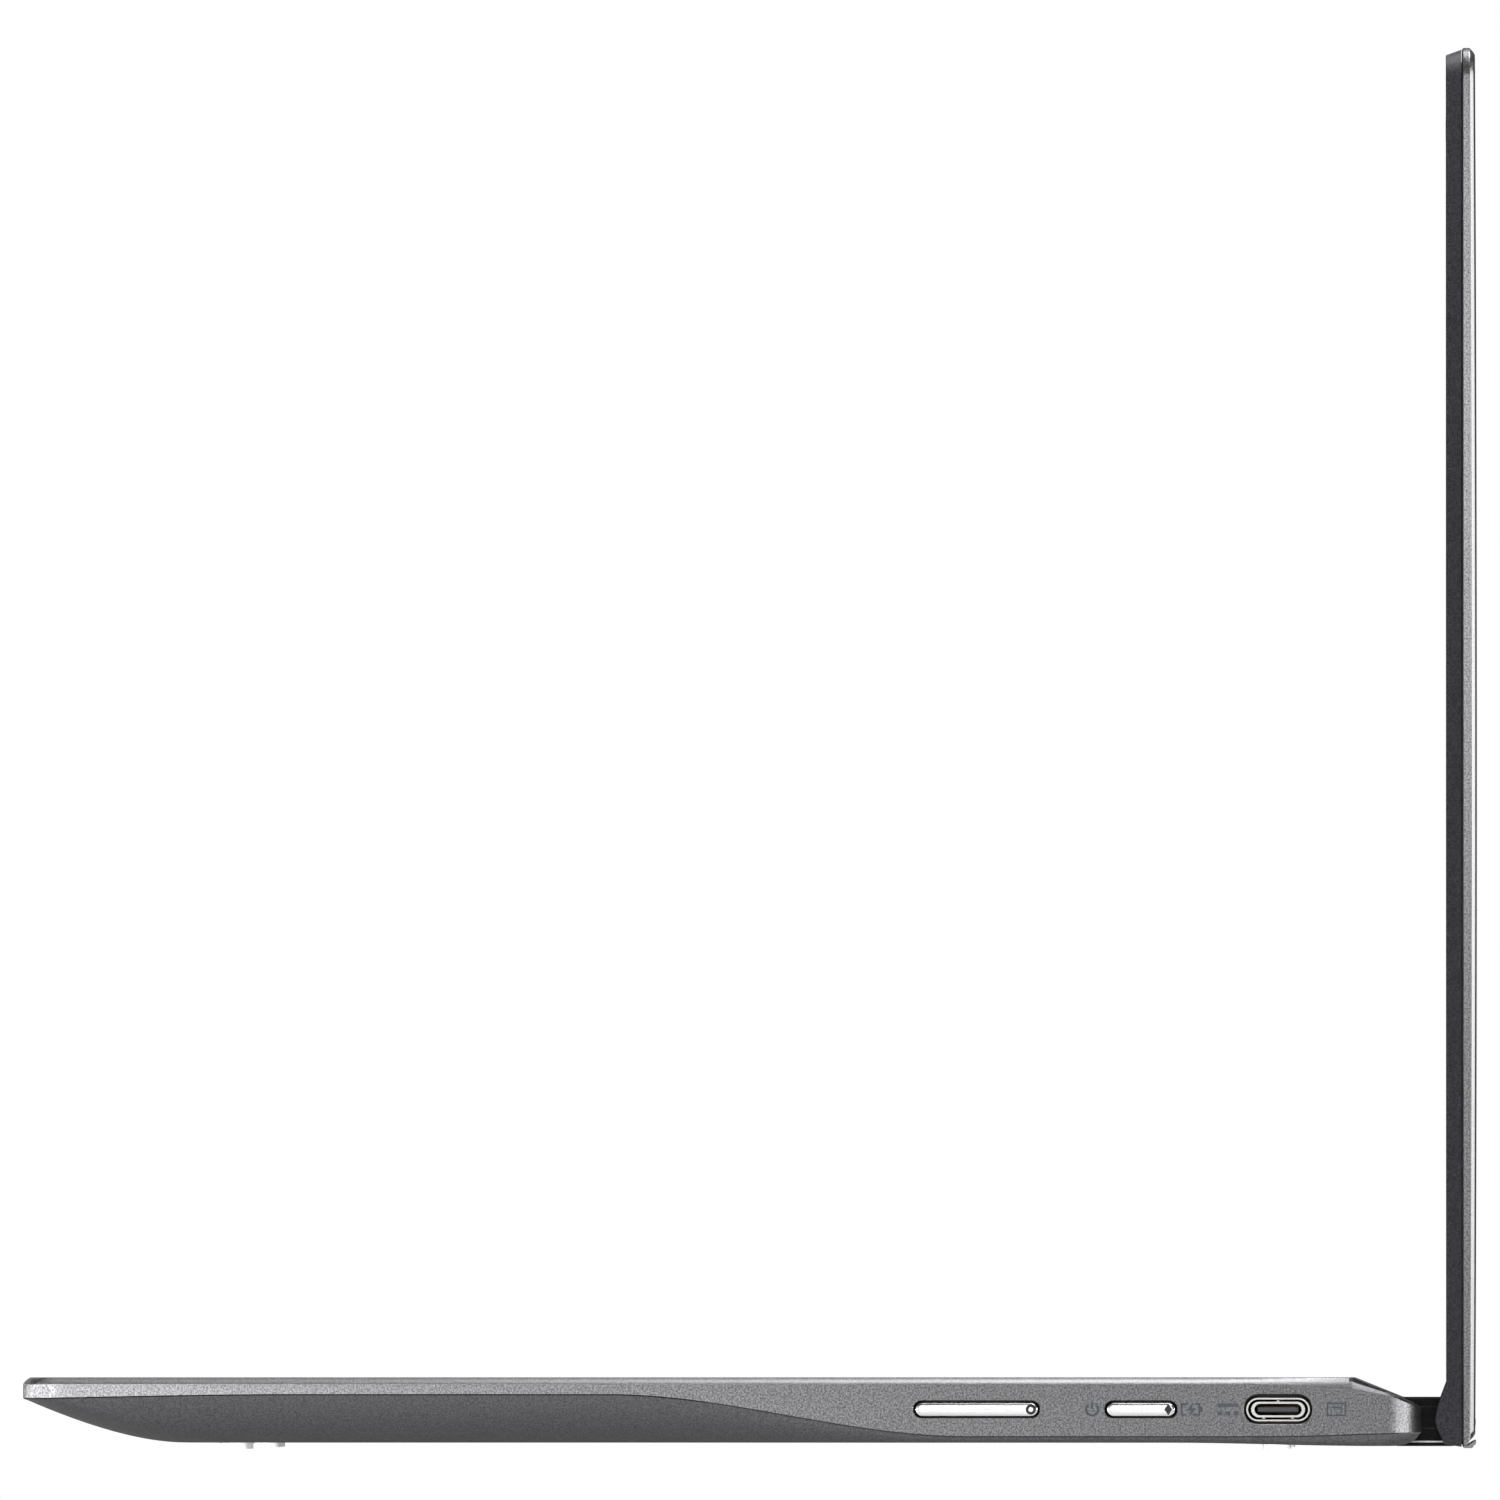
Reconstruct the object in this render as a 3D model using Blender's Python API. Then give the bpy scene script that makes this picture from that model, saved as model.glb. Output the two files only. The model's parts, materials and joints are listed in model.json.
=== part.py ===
"""A 13.5 inch convertible laptop, open at a right angle, built as an assembly of separate solids.

Frame: +X is the user's right, +Y points from the user to the hinge, +Z is up. The origin is the middle of
the open laptop's footprint, on the table. Every size below is in millimetres; MM turns it into metres.

The lid hangs on two hinges. Each has a base shaft (axis A, fixed in the base), a link, and a lid shaft
(axis B, fixed in the lid). The link turns 180 degrees on A and the lid turns 180 degrees on B, so the
lid goes from closed to folded right round behind the base.
"""

import math

import bmesh
import bpy
from mathutils import Matrix, Vector

MM = 0.001

# ---- driving dimensions, in millimetres ----
WIDTH = 300.6  # of base and lid
BASE_LENGTH = 234.95
BASE_HEIGHT = 11.0
FOOT_HEIGHT = 1.1
LID_LENGTH = 235.0
LID_THICKNESS = 4.9
LID_CROWN = 0.3  # how far the middle of the lid's outer face stands out
DEPTH_OPEN = 244.3  # front edge of the base to the back of the upright lid
GAP = 0.1  # between parts that rest on each other

# ---- base ----
HALF = WIDTH / 2
FRONT = -DEPTH_OPEN / 2
REAR = FRONT + BASE_LENGTH
FLOOR = FOOT_HEIGHT  # underside of the base
DECK = FLOOR + BASE_HEIGHT  # top face of the base
WALL = 1.4
DECK_THICKNESS = 1.8
COVER_THICKNESS = 1.0
CORNER_RADIUS = 6.0
TOP_CHAMFER = 1.1
SLOPE_START = FRONT + 223.2  # where the rear of the deck starts to fall away
SLOPE = 0.403
SPLIT_TIP = 8.3  # height of the seam between top case and bottom cover at the front edge
SPLIT_FRONT = 9.05  # and along the front half
SPLIT_REAR = 2.0
SPLIT_RISE = (FRONT - 12.0, FRONT + 44.0)  # where the seam lifts behind the front edge
SPLIT_FALL = (FRONT + 98.7, FRONT + 158.6)  # where the seam sweeps down
SEAM = 0.15
FRONT_RUN = 26.5  # how far the rounded underside runs in from the front edge
SIDE_RUN = 13.0
SIDE_RUN_REAR = 2.2
REAR_RUN = 5.0

# ---- hinges ----
AXIS_SPACING = 8.9
CLOSED_GAP = 0.5
AXIS_DEPTH_IN_LID = 0.9  # axis B behind the screen face
LID_FACE = FRONT + 239.1  # the screen face of the upright lid
AXIS_B = (LID_FACE + AXIS_DEPTH_IN_LID, DECK + CLOSED_GAP + AXIS_DEPTH_IN_LID - AXIS_SPACING)
AXIS_A = (AXIS_B[0] - AXIS_SPACING, AXIS_B[1])
LID_BOTTOM = 0.42  # height of the upright lid's lower edge above the table
LINK_RADIUS = 4.1
LINK_WIDTH = 28.0
LINK_CENTRE = 110.0  # along X, from the middle of the laptop
SHAFT_RADIUS = 1.4
BORE_RADIUS = 1.45
LUG_RADIUS = 1.8
LUG_THICKNESS = 3.0
NOTCH_MARGIN = 0.4

# ---- lid ----
COVER_DEPTH = 2.7  # the metal lid cover starts this far behind the screen face
COVER_WALL = 0.8
LID_CHAMFER = 1.0
LID_CORNER = 5.0
LID_FOOT_CHAMFER = (1.5, 2.0)  # (depth, height) taken off the cover's lower outer edge
BEZEL_DRAFT = (1.2, 0.3)  # inset of the bezel at the screen face and at the cover
GLASS = {"half": 147.3, "bottom": 13.0, "top": 232.8, "thickness": 1.0}
SEAL = 0.6  # gap between glass and bezel, filled by the rubber seal
ACTIVE = (285.3, 190.2)  # 3:2 picture, 13.5 inches across

# ---- keyboard and touchpad ----
PITCH_X = 18.9
PITCH_Y = 18.6
KEY_GAP = 2.7
HOLE_MARGIN = 0.25
FUNCTION_PITCH = 11.5
KEYBOARD_FRONT = FRONT + 104.5
KEYBOARD_UNITS = 14.5
WELL_MARGIN = 1.0
WELL_DEPTH = 1.0
KEY_TOP = DECK - 0.15
KEY_BOTTOM = DECK - 2.6
KEY_TRAVEL = 1.2
WEB_THICKNESS = 0.4
PLATE_TOP = KEY_BOTTOM - KEY_TRAVEL - 0.2
PLATE_THICKNESS = 0.4
PAD_SIZE = (110.0, 77.0)
PAD_FRONT = FRONT + 18.0
PAD_CLEARANCE = 0.3

# ---- side features: (distance from the front edge, height, length, height of the slot) ----
VOLUME = (FRONT + 160.2, 6.68, 21.4, 2.93)
POWER = (FRONT + 187.9, 6.68, 12.25, 2.94)
USB_RIGHT = (FRONT + 210.9, 6.76, 11.3, 4.7)
USB_LEFT = (FRONT + 213.0, 6.76, 11.3, 4.7)
HDMI = (FRONT + 195.0, 6.6, 15.2, 5.8)
USB_A = (FRONT + 175.5, 6.6, 13.4, 6.2)
JACK = (FRONT + 161.5, 6.6, 6.2, 6.2)
BUTTON_PROUD = -0.05

MATERIALS = {
    "aluminium": ((0.26, 0.26, 0.27), 0.42, 0.9),
    "lid_metal": ((0.42, 0.42, 0.43), 0.38, 0.9),
    "painted_cover": ((0.085, 0.086, 0.09), 0.55, 0.3),
    "bezel_plastic": ((0.06, 0.06, 0.07), 0.55, 0.0),
    "key_plastic": ((0.018, 0.018, 0.02), 0.6, 0.0),
    "polished_metal": ((0.75, 0.75, 0.76), 0.12, 1.0),
    "black_rubber": ((0.02, 0.02, 0.02), 0.85, 0.0),
    "hinge_black": ((0.012, 0.012, 0.013), 0.45, 0.4),
    "steel": ((0.45, 0.45, 0.46), 0.35, 1.0),
    "screen_glass": ((0.01, 0.01, 0.012), 0.05, 0.0),
    "lcd": ((0.03, 0.03, 0.035), 0.4, 0.0),
    "circuit_board": ((0.02, 0.09, 0.05), 0.5, 0.0),
    "copper": ((0.72, 0.36, 0.22), 0.3, 1.0),
    "battery_film": ((0.03, 0.03, 0.035), 0.5, 0.0),
    "dark_plastic": ((0.04, 0.04, 0.045), 0.5, 0.0),
}


# ---------------------------------------------------------------- scene helpers
def clear_scene():
    for obj in list(bpy.data.objects):
        bpy.data.objects.remove(obj)


def make_collection(name):
    collection = bpy.data.collections.new(name)
    bpy.context.scene.collection.children.link(collection)
    return collection


def make_material(name):
    colour, roughness, metallic = MATERIALS[name]
    material = bpy.data.materials.new(name)
    material.use_nodes = True
    shader = material.node_tree.nodes["Principled BSDF"]
    shader.inputs["Base Color"].default_value = (*colour, 1.0)
    shader.inputs["Roughness"].default_value = roughness
    shader.inputs["Metallic"].default_value = metallic
    return material


clear_scene()
PARTS = make_collection("convertible_laptop")
CUTTERS = make_collection("cutters")
MATERIAL = {name: make_material(name) for name in MATERIALS}


def add_object(name, mesh, material=None):
    """A part when it has a material, and a hidden cutter when it has none."""
    obj = bpy.data.objects.new(name, mesh)
    if material:
        mesh.materials.clear()
        mesh.materials.append(MATERIAL[material])
        PARTS.objects.link(obj)
        mesh.shade_smooth()
        mesh.set_sharp_from_angle(angle=math.radians(30))
    else:
        CUTTERS.objects.link(obj)
        obj.hide_render = True
        obj.display_type = "WIRE"
    return obj


def mesh_from_bmesh(name, bm):
    bmesh.ops.recalc_face_normals(bm, faces=bm.faces)
    mesh = bpy.data.meshes.new(name)
    bm.to_mesh(mesh)
    bm.free()
    return mesh


def boolean(target, other, operation="DIFFERENCE"):
    modifier = target.modifiers.new(operation.lower() + "_" + other.name, "BOOLEAN")
    modifier.operation = operation
    modifier.object = other


# ---------------------------------------------------------------- shape helpers, sizes in millimetres
def boxes_mesh(name, boxes):
    """One mesh of separate boxes, each ((low x, y, z), (high x, y, z))."""
    bm = bmesh.new()
    for low, high in boxes:
        low, high = Vector(low) * MM, Vector(high) * MM
        size = Matrix.Diagonal((high - low).to_4d())
        size[3][3] = 1.0
        place = Matrix.Translation((low + high) / 2) @ size
        bmesh.ops.create_cube(bm, size=1.0, matrix=place)
    return mesh_from_bmesh(name, bm)


def box(name, low, high, material=None):
    return add_object(name, boxes_mesh(name, [(low, high)]), material)


TURN = {  # carries a shape made along +Z onto another axis
    "X": Matrix(((0, 0, 1, 0), (1, 0, 0, 0), (0, 1, 0, 0), (0, 0, 0, 1))),
    "Y": Matrix(((1, 0, 0, 0), (0, 0, -1, 0), (0, 1, 0, 0), (0, 0, 0, 1))),
    "Z": Matrix.Identity(4),
}


def cylinders_mesh(name, cylinders, segments=24):
    """One mesh of separate cylinders, each (axis, centre, radius, length)."""
    bm = bmesh.new()
    for axis, centre, radius, length in cylinders:
        place = Matrix.Translation(Vector(centre) * MM) @ TURN[axis]
        bmesh.ops.create_cone(
            bm,
            cap_ends=True,
            segments=segments,
            radius1=radius * MM,
            radius2=radius * MM,
            depth=length * MM,
            matrix=place,
        )
    return mesh_from_bmesh(name, bm)


def cylinder(name, axis, centre, radius, length, material=None, segments=24):
    return add_object(name, cylinders_mesh(name, [(axis, centre, radius, length)], segments), material)


def capsule_outline(length, height, segments=6):
    """A stadium: two half circles joined by straight sides, centred on the origin."""
    radius = height / 2
    reach = length / 2 - radius
    points = []
    for side, start in ((1, -90), (-1, 90)):
        for i in range(segments + 1):
            angle = math.radians(start + 180 * i / segments)
            points.append((side * reach + radius * math.cos(angle), radius * math.sin(angle)))
    return points


def rounded_outline(length, height, radius, segments=4):
    """A rectangle with rounded corners, centred on the origin."""
    points = []
    for sx, sy, start in ((1, -1, -90), (1, 1, 0), (-1, 1, 90), (-1, -1, 180)):
        for i in range(segments + 1):
            angle = math.radians(start + 90 * i / segments)
            x = sx * (length / 2 - radius) + radius * math.cos(angle)
            points.append((x, sy * (height / 2 - radius) + radius * math.sin(angle)))
    return points


def prism(name, outline, axis, low, high, centre=(0.0, 0.0), material=None):
    """A flat outline made solid between low and high on an axis. The outline is in (Y, Z) for axis X,
    (X, Z) for axis Y and (X, Y) for axis Z."""
    curve = bpy.data.curves.new(name, "CURVE")
    curve.dimensions = "2D"
    curve.fill_mode = "BOTH"
    curve.extrude = (high - low) / 2 * MM
    spline = curve.splines.new("POLY")
    spline.points.add(len(outline) - 1)
    for point, (u, v) in zip(spline.points, outline):
        point.co = ((u + centre[0]) * MM, (v + centre[1]) * MM, 0.0, 1.0)
    spline.use_cyclic_u = True
    guide = bpy.data.objects.new(name + "_outline", curve)
    bpy.context.scene.collection.objects.link(guide)
    bpy.context.view_layer.update()
    solid = bpy.data.meshes.new_from_object(guide.evaluated_get(bpy.context.evaluated_depsgraph_get()))
    bpy.data.objects.remove(guide)
    middle = (low + high) / 2 * MM
    shift = {"X": (middle, 0, 0), "Y": (0, middle, 0), "Z": (0, 0, middle)}[axis]
    bm = bmesh.new()
    bm.from_mesh(solid)
    bpy.data.meshes.remove(solid)
    bmesh.ops.remove_doubles(bm, verts=bm.verts, dist=1e-6)
    bmesh.ops.transform(bm, matrix=Matrix.Translation(shift) @ TURN[axis], verts=bm.verts)
    return add_object(name, mesh_from_bmesh(name, bm), material)


def ladder_loft(name, levels, place=Matrix.Identity(4), material=None):
    """A loft through levels. A level is the right half of a symmetric outline, as (x, y, z) points from
    the front edge round to the rear edge. Rungs across X close the first and the last level."""
    bm = bmesh.new()

    def side(sign):
        return [[bm.verts.new(Vector((sign * x, y, z)) * MM) for x, y, z in level] for level in levels]

    right, left = side(1), side(-1)
    last = len(levels[0]) - 1
    for k in range(len(levels) - 1):
        for half in (right, left):
            for i in range(last):
                bm.faces.new((half[k][i], half[k][i + 1], half[k + 1][i + 1], half[k + 1][i]))
        for i in (0, last):
            bm.faces.new((right[k][i], right[k + 1][i], left[k + 1][i], left[k][i]))
    for k in (0, len(levels) - 1):
        for i in range(last):
            bm.faces.new((right[k][i], right[k][i + 1], left[k][i + 1], left[k][i]))
    bmesh.ops.transform(bm, matrix=place, verts=bm.verts)
    return add_object(name, mesh_from_bmesh(name, bm), material)


def half_outline(front, rear, half_width, front_radius, rear_radius, stations, steps=5):
    """(x, y) points of the right half of a rounded rectangle. half_width is a function of y, and stations
    are the y values of the points along the straight side."""
    points = []
    for i in range(steps + 1):
        angle = math.radians(90 * i / steps)
        y = front + front_radius * (1 - math.cos(angle))
        points.append((half_width(y) - front_radius * (1 - math.sin(angle)), y))
    points += [(half_width(y), y) for y in stations]
    for i in range(steps + 1):
        angle = math.radians(90 * i / steps)
        y = rear - rear_radius * (1 - math.sin(angle))
        points.append((half_width(y) - rear_radius * (1 - math.cos(angle)), y))
    return points


def smoothstep(value, low, high):
    share = min(1.0, max(0.0, (value - low) / (high - low)))
    return share * share * (3 - 2 * share)


def bezier(share, control, end):
    """A quadratic Bezier curve from 0, at a share of the way from 0 to 1."""
    return 2 * (1 - share) * share * control + share * share * end


# ---------------------------------------------------------------- base shell
STATIONS = [FRONT + 45.0, *[SPLIT_FALL[0] + 6.0 * i for i in range(11)], FRONT + 205.0, SLOPE_START]


def seam_height(y):
    """Height of the seam between top case and bottom cover: high in front, low behind."""
    lifted = SPLIT_TIP + (SPLIT_FRONT - SPLIT_TIP) * smoothstep(y, *SPLIT_RISE)
    swept = lifted + (SPLIT_REAR - SPLIT_FRONT) * smoothstep(y, *SPLIT_FALL)
    return swept + 0.6 * smoothstep(y, REAR - 25.0, REAR)


def deck_height(y):
    return DECK - max(0.0, y - SLOPE_START) * SLOPE


def deck_level(drop, inset, lift=0.0):
    """A level that follows the top face of the base, drop below it and inset from the sides."""
    outline = half_outline(
        FRONT + inset,
        REAR - inset,
        lambda y: HALF - inset,
        CORNER_RADIUS - min(inset, 2.0),
        CORNER_RADIUS - min(inset, 2.0),
        STATIONS,
    )
    return [(x, y, deck_height(y) - drop + lift) for x, y in outline]


def seam_level(offset, inset):
    outline = half_outline(
        FRONT + inset,
        REAR - inset,
        lambda y: HALF - inset,
        CORNER_RADIUS - min(inset, 2.0),
        CORNER_RADIUS - min(inset, 2.0),
        STATIONS,
    )
    return [(x, y, seam_height(y) + offset) for x, y in outline]


def cover_level(share, inset=0.0, floor=FLOOR, lift=0.0):
    """A level of the bottom cover's rounded underside: share 0 is at the seam and 1 is the flat bottom."""
    drop = 1 - (1 - share) ** 2

    def half_width(y):
        rear = smoothstep(y, *SPLIT_FALL)
        ahead = bezier(share, SIDE_RUN * 0.45, SIDE_RUN)
        behind = bezier(share, SIDE_RUN_REAR * 0.3, SIDE_RUN_REAR)
        return HALF - 0.3 - inset - ahead * (1 - rear) - behind * rear

    outline = half_outline(
        FRONT + 0.3 + inset + bezier(share, FRONT_RUN * 0.6, FRONT_RUN),
        REAR - 0.3 - inset - bezier(share, REAR_RUN * 0.2, REAR_RUN),
        half_width,
        CORNER_RADIUS + 8.0 * share - inset,
        CORNER_RADIUS - min(inset, 2.0) - 1.0 * share,
        STATIONS,
    )
    top = [seam_height(y) - SEAM + lift for _, y in outline]
    return [(x, y, height - (height - floor) * drop) for (x, y), height in zip(outline, top)]


def notch_boxes(low_y, high_y, low_z, high_z):
    """Openings for the two hinge links."""
    reach = LINK_WIDTH / 2 + NOTCH_MARGIN
    return [
        ((side * LINK_CENTRE - reach, low_y, low_z), (side * LINK_CENTRE + reach, high_y, high_z))
        for side in (-1, 1)
    ]


def make_base_shell():
    base_notches = add_object(
        "base_notch_cutter",
        boxes_mesh("base_notches", notch_boxes(AXIS_A[0] - LINK_RADIUS - NOTCH_MARGIN, REAR + 5, -5, DECK + 5)),
    )
    vent_recess = box("vent_recess_cutter", (-88.0, REAR - 1.5, -5.0), (88.0, REAR + 5.0, DECK + 5.0))

    top = ladder_loft(
        "top_case",
        [seam_level(0.0, 0.0), deck_level(TOP_CHAMFER, 0.0), deck_level(0.0, TOP_CHAMFER)],
        material="aluminium",
    )
    top_hollow = ladder_loft(
        "top_hollow_cutter",
        [seam_level(-3.0, WALL), seam_level(0.3, WALL), deck_level(DECK_THICKNESS, WALL)],
    )
    boolean(top, top_hollow)
    boolean(top, vent_recess)
    boolean(top, base_notches)

    shares = (0.0, 0.2, 0.4, 0.6, 0.8, 1.0)
    bottom = ladder_loft("bottom_cover", [cover_level(s) for s in shares], material="painted_cover")
    inner_floor = FLOOR + COVER_THICKNESS
    hollow_levels = [seam_level(2.0, WALL)] + [
        cover_level(s, WALL, inner_floor, lift=0.2 * (1 - s)) for s in shares
    ]
    bottom_hollow = ladder_loft("bottom_hollow_cutter", hollow_levels)
    boolean(bottom, bottom_hollow)
    boolean(bottom, vent_recess)
    boolean(bottom, base_notches)

    vents = [((x - 1.0, 58.0, -1.0), (x + 1.0, 78.0, FLOOR + 3.0)) for x in range(-66, -20, 6)]
    vents += [((x - 1.0, 58.0, -1.0), (x + 1.0, 78.0, FLOOR + 3.0)) for x in range(24, 70, 6)]
    boolean(bottom, add_object("bottom_vent_cutter", boxes_mesh("bottom_vents", vents)))
    outlet = [((x - 2.2, REAR - 6.0, 4.4), (x + 2.2, REAR + 3.0, 7.2)) for x in range(-80, 81, 8)]
    boolean(top, add_object("rear_vent_cutter", boxes_mesh("rear_vents", outlet)))
    return top, bottom


def side_opening(name, feature, side):
    centre_y, height, length, slot_height = feature
    outline = capsule_outline(length, slot_height)
    low, high = sorted((side * (HALF - 3.5), side * (HALF + 3.0)))
    return prism(name, outline, "X", low, high, (centre_y, height))


def cut_side_openings(top):
    for name, feature, side in (
        ("volume", VOLUME, 1),
        ("power", POWER, 1),
        ("usb_c_right", USB_RIGHT, 1),
        ("usb_c_left", USB_LEFT, -1),
        ("hdmi", HDMI, -1),
        ("usb_a", USB_A, -1),
        ("headphone", JACK, -1),
    ):
        if name in ("hdmi", "usb_a"):
            centre_y, height, length, slot_height = feature
            outline = rounded_outline(length, slot_height, 0.6, 2)
            cutter = prism(
                name + "_cutter", outline, "X", -HALF - 3.0, -HALF + 3.5, (centre_y, height)
            )
        else:
            cutter = side_opening(name + "_cutter", feature, side)
        boolean(top, cutter)


# ---------------------------------------------------------------- keyboard
# Each row, from the user's side to the hinge: (row pitch, [(node, [key widths in units]), ...]).
KEY_ROWS = (
    (
        PITCH_Y,
        (
            ("left_modifier_keys", (1.75, 1.25)),
            ("space_bar", (6.0,)),
            ("right_modifier_keys", (1.25, 1.25)),
            ("arrow_left_key", (1.0,)),
            ("arrow_up_down", (1.0,)),
            ("arrow_right_key", (1.0,)),
        ),
    ),
    (PITCH_Y, (("lower_letter_keys", (2.25, *[1.0] * 10, 2.25)),)),
    (PITCH_Y, (("home_letter_keys", (1.75, *[1.0] * 11)), ("enter_key", (1.75,)))),
    (PITCH_Y, (("upper_letter_keys", (1.5, *[1.0] * 13)),)),
    (PITCH_Y, (("number_keys", (*[1.0] * 13,)), ("backspace_key", (1.5,)))),
    (FUNCTION_PITCH, (("function_keys", (*[KEYBOARD_UNITS / 14] * 14,)),)),
)


def key_places():
    """node -> list of (low x, high x, low y, high y), for every keycap."""
    places = {}
    y = KEYBOARD_FRONT
    left_edge = -KEYBOARD_UNITS * PITCH_X / 2
    for pitch, groups in KEY_ROWS:
        x = left_edge
        low_y, high_y = y + KEY_GAP / 2, y + pitch - KEY_GAP / 2
        for node, widths in groups:
            for width in widths:
                low_x, high_x = x + KEY_GAP / 2, x + width * PITCH_X - KEY_GAP / 2
                if node == "arrow_up_down":
                    middle = (low_y + high_y) / 2
                    places["arrow_down_key"] = [(low_x, high_x, low_y, middle - 0.4)]
                    places["arrow_up_key"] = [(low_x, high_x, middle + 0.4, high_y)]
                else:
                    places.setdefault(node, []).append((low_x, high_x, low_y, high_y))
                x += width * PITCH_X
        y += pitch
    return places


def keycaps_mesh(name, caps):
    """Keycaps with sides that draw in a little towards the top."""
    bm = bmesh.new()
    draw = 0.35
    for low_x, high_x, low_y, high_y in caps:
        centre = ((low_x + high_x) / 2, (low_y + high_y) / 2, (KEY_TOP + KEY_BOTTOM) / 2)
        size = (high_x - low_x, high_y - low_y, KEY_TOP - KEY_BOTTOM)
        place = Matrix.Translation(Vector(centre) * MM) @ Matrix.Diagonal((*[s * MM for s in size], 1.0))
        made = bmesh.ops.create_cube(bm, size=1.0, matrix=place)
        for vert in made["verts"]:
            if vert.co.z > centre[2] * MM:
                vert.co.x -= math.copysign(draw * MM, vert.co.x - centre[0] * MM)
                vert.co.y -= math.copysign(draw * MM, vert.co.y - centre[1] * MM)
    return mesh_from_bmesh(name, bm)


def make_keyboard(top):
    places = key_places()
    for node, caps in places.items():
        keys = add_object(node, keycaps_mesh(node, caps), "key_plastic")
        if len(caps) > 1:
            middle = (caps[0][2] + caps[0][3]) / 2
            low = (caps[0][0] + 2.0, middle - 3.0, KEY_BOTTOM)
            high = (caps[-1][1] - 2.0, middle + 3.0, KEY_BOTTOM + WEB_THICKNESS)
            boolean(keys, box(node + "_web", low, high), "UNION")
    caps = [cap for group in places.values() for cap in group]
    low_x, high_x = min(c[0] for c in caps), max(c[1] for c in caps)
    low_y, high_y = min(c[2] for c in caps), max(c[3] for c in caps)
    grow = HOLE_MARGIN
    well = box(
        "key_well_cutter",
        (low_x - WELL_MARGIN, low_y - WELL_MARGIN, DECK - WELL_DEPTH),
        (high_x + WELL_MARGIN, high_y + WELL_MARGIN, DECK + 2.0),
    )
    holes = [
        ((x0 - grow, y0 - grow, DECK - 4.0), (x1 + grow, y1 + grow, DECK + 1.0))
        for x0, x1, y0, y1 in caps
        if (x0, x1, y0, y1) not in places["arrow_down_key"] + places["arrow_up_key"]
    ]
    down, up = places["arrow_down_key"][0], places["arrow_up_key"][0]
    holes.append(((down[0] - grow, down[2] - grow, DECK - 4.0), (down[1] + grow, up[3] + grow, DECK + 1.0)))
    boolean(top, well)
    boolean(top, add_object("key_hole_cutter", boxes_mesh("key_holes", holes)))
    box(
        "keyboard_plate",
        (low_x - 1.0, low_y - 1.0, PLATE_TOP - PLATE_THICKNESS),
        (high_x + 1.0, high_y + 1.0, PLATE_TOP),
        "steel",
    )


def make_touchpad(top):
    half, depth = PAD_SIZE[0] / 2, PAD_SIZE[1]
    gap = PAD_CLEARANCE
    boolean(
        top,
        box(
            "touchpad_cutter",
            (-half - gap, PAD_FRONT - gap, DECK - 4.0),
            (half + gap, PAD_FRONT + depth + gap, DECK + 1.0),
        ),
    )
    outline = rounded_outline(PAD_SIZE[0], depth, 1.0, 2)
    centre = (0.0, PAD_FRONT + depth / 2)
    prism("touchpad", outline, "Z", DECK - 2.35, DECK - 0.15, centre, "aluminium")


# ---------------------------------------------------------------- side buttons and ports
def make_button(name, feature, length, height):
    """A pill that stands in the side wall, with a flange behind the wall that keeps it in."""
    centre = (feature[0], feature[1])
    pill = capsule_outline(length, height)
    button = prism(name, pill, "X", HALF - 2.9, HALF + BUTTON_PROUD, centre, "polished_metal")
    flange = capsule_outline(length + 1.8, height + 1.6)
    boolean(button, prism(name + "_flange", flange, "X", HALF - 3.0, HALF - 2.0, centre), "UNION")


def make_socket(name, feature, side, shell, opening, tongue, outline=capsule_outline):
    """A port: a metal shell with an opening and a contact tongue inside it. Sizes are (length, height)."""
    centre = (feature[0], feature[1])
    mouth, back = HALF - 0.4, HALF - 8.5

    def between(inner, outer):
        return sorted((side * inner, side * outer))

    body = prism(name, outline(*shell), "X", *between(back, mouth), centre, "steel")
    boolean(body, prism(name + "_mouth", outline(*opening), "X", *between(back + 1.2, mouth + 2), centre))
    low_x, high_x = between(back + 0.6, mouth - 1.0)
    low = (low_x, centre[0] - tongue[0] / 2, centre[1] - tongue[1] / 2)
    high = (high_x, centre[0] + tongue[0] / 2, centre[1] + tongue[1] / 2)
    boolean(body, box(name + "_tongue", low, high), "UNION")


def sharp_outline(length, height):
    return rounded_outline(length, height, 0.4, 1)


def make_ports():
    make_socket("usb_c_port_right", USB_RIGHT, 1, (10.7, 4.0), (8.4, 2.6), (6.7, 0.7))
    make_socket("usb_c_port_left", USB_LEFT, -1, (10.7, 4.0), (8.4, 2.6), (6.7, 0.7))
    make_socket("usb_a_port", USB_A, -1, (12.9, 5.7), (12.3, 5.1), (11.0, 1.6), sharp_outline)
    make_socket("hdmi_port", HDMI, -1, (14.7, 5.3), (14.0, 4.55), (11.0, 1.0), sharp_outline)
    centre_y, height, _, _ = JACK
    jack = cylinder("headphone_jack", "X", (-HALF + 6.4, centre_y, height), 2.9, 12.0, "dark_plastic")
    boolean(jack, cylinder("jack_bore", "X", (-HALF + 5.0, centre_y, height), 1.75, 11.0))


# ---------------------------------------------------------------- inside the base
INSIDE = FLOOR + COVER_THICKNESS + 0.3  # lowest height of the parts inside


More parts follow.
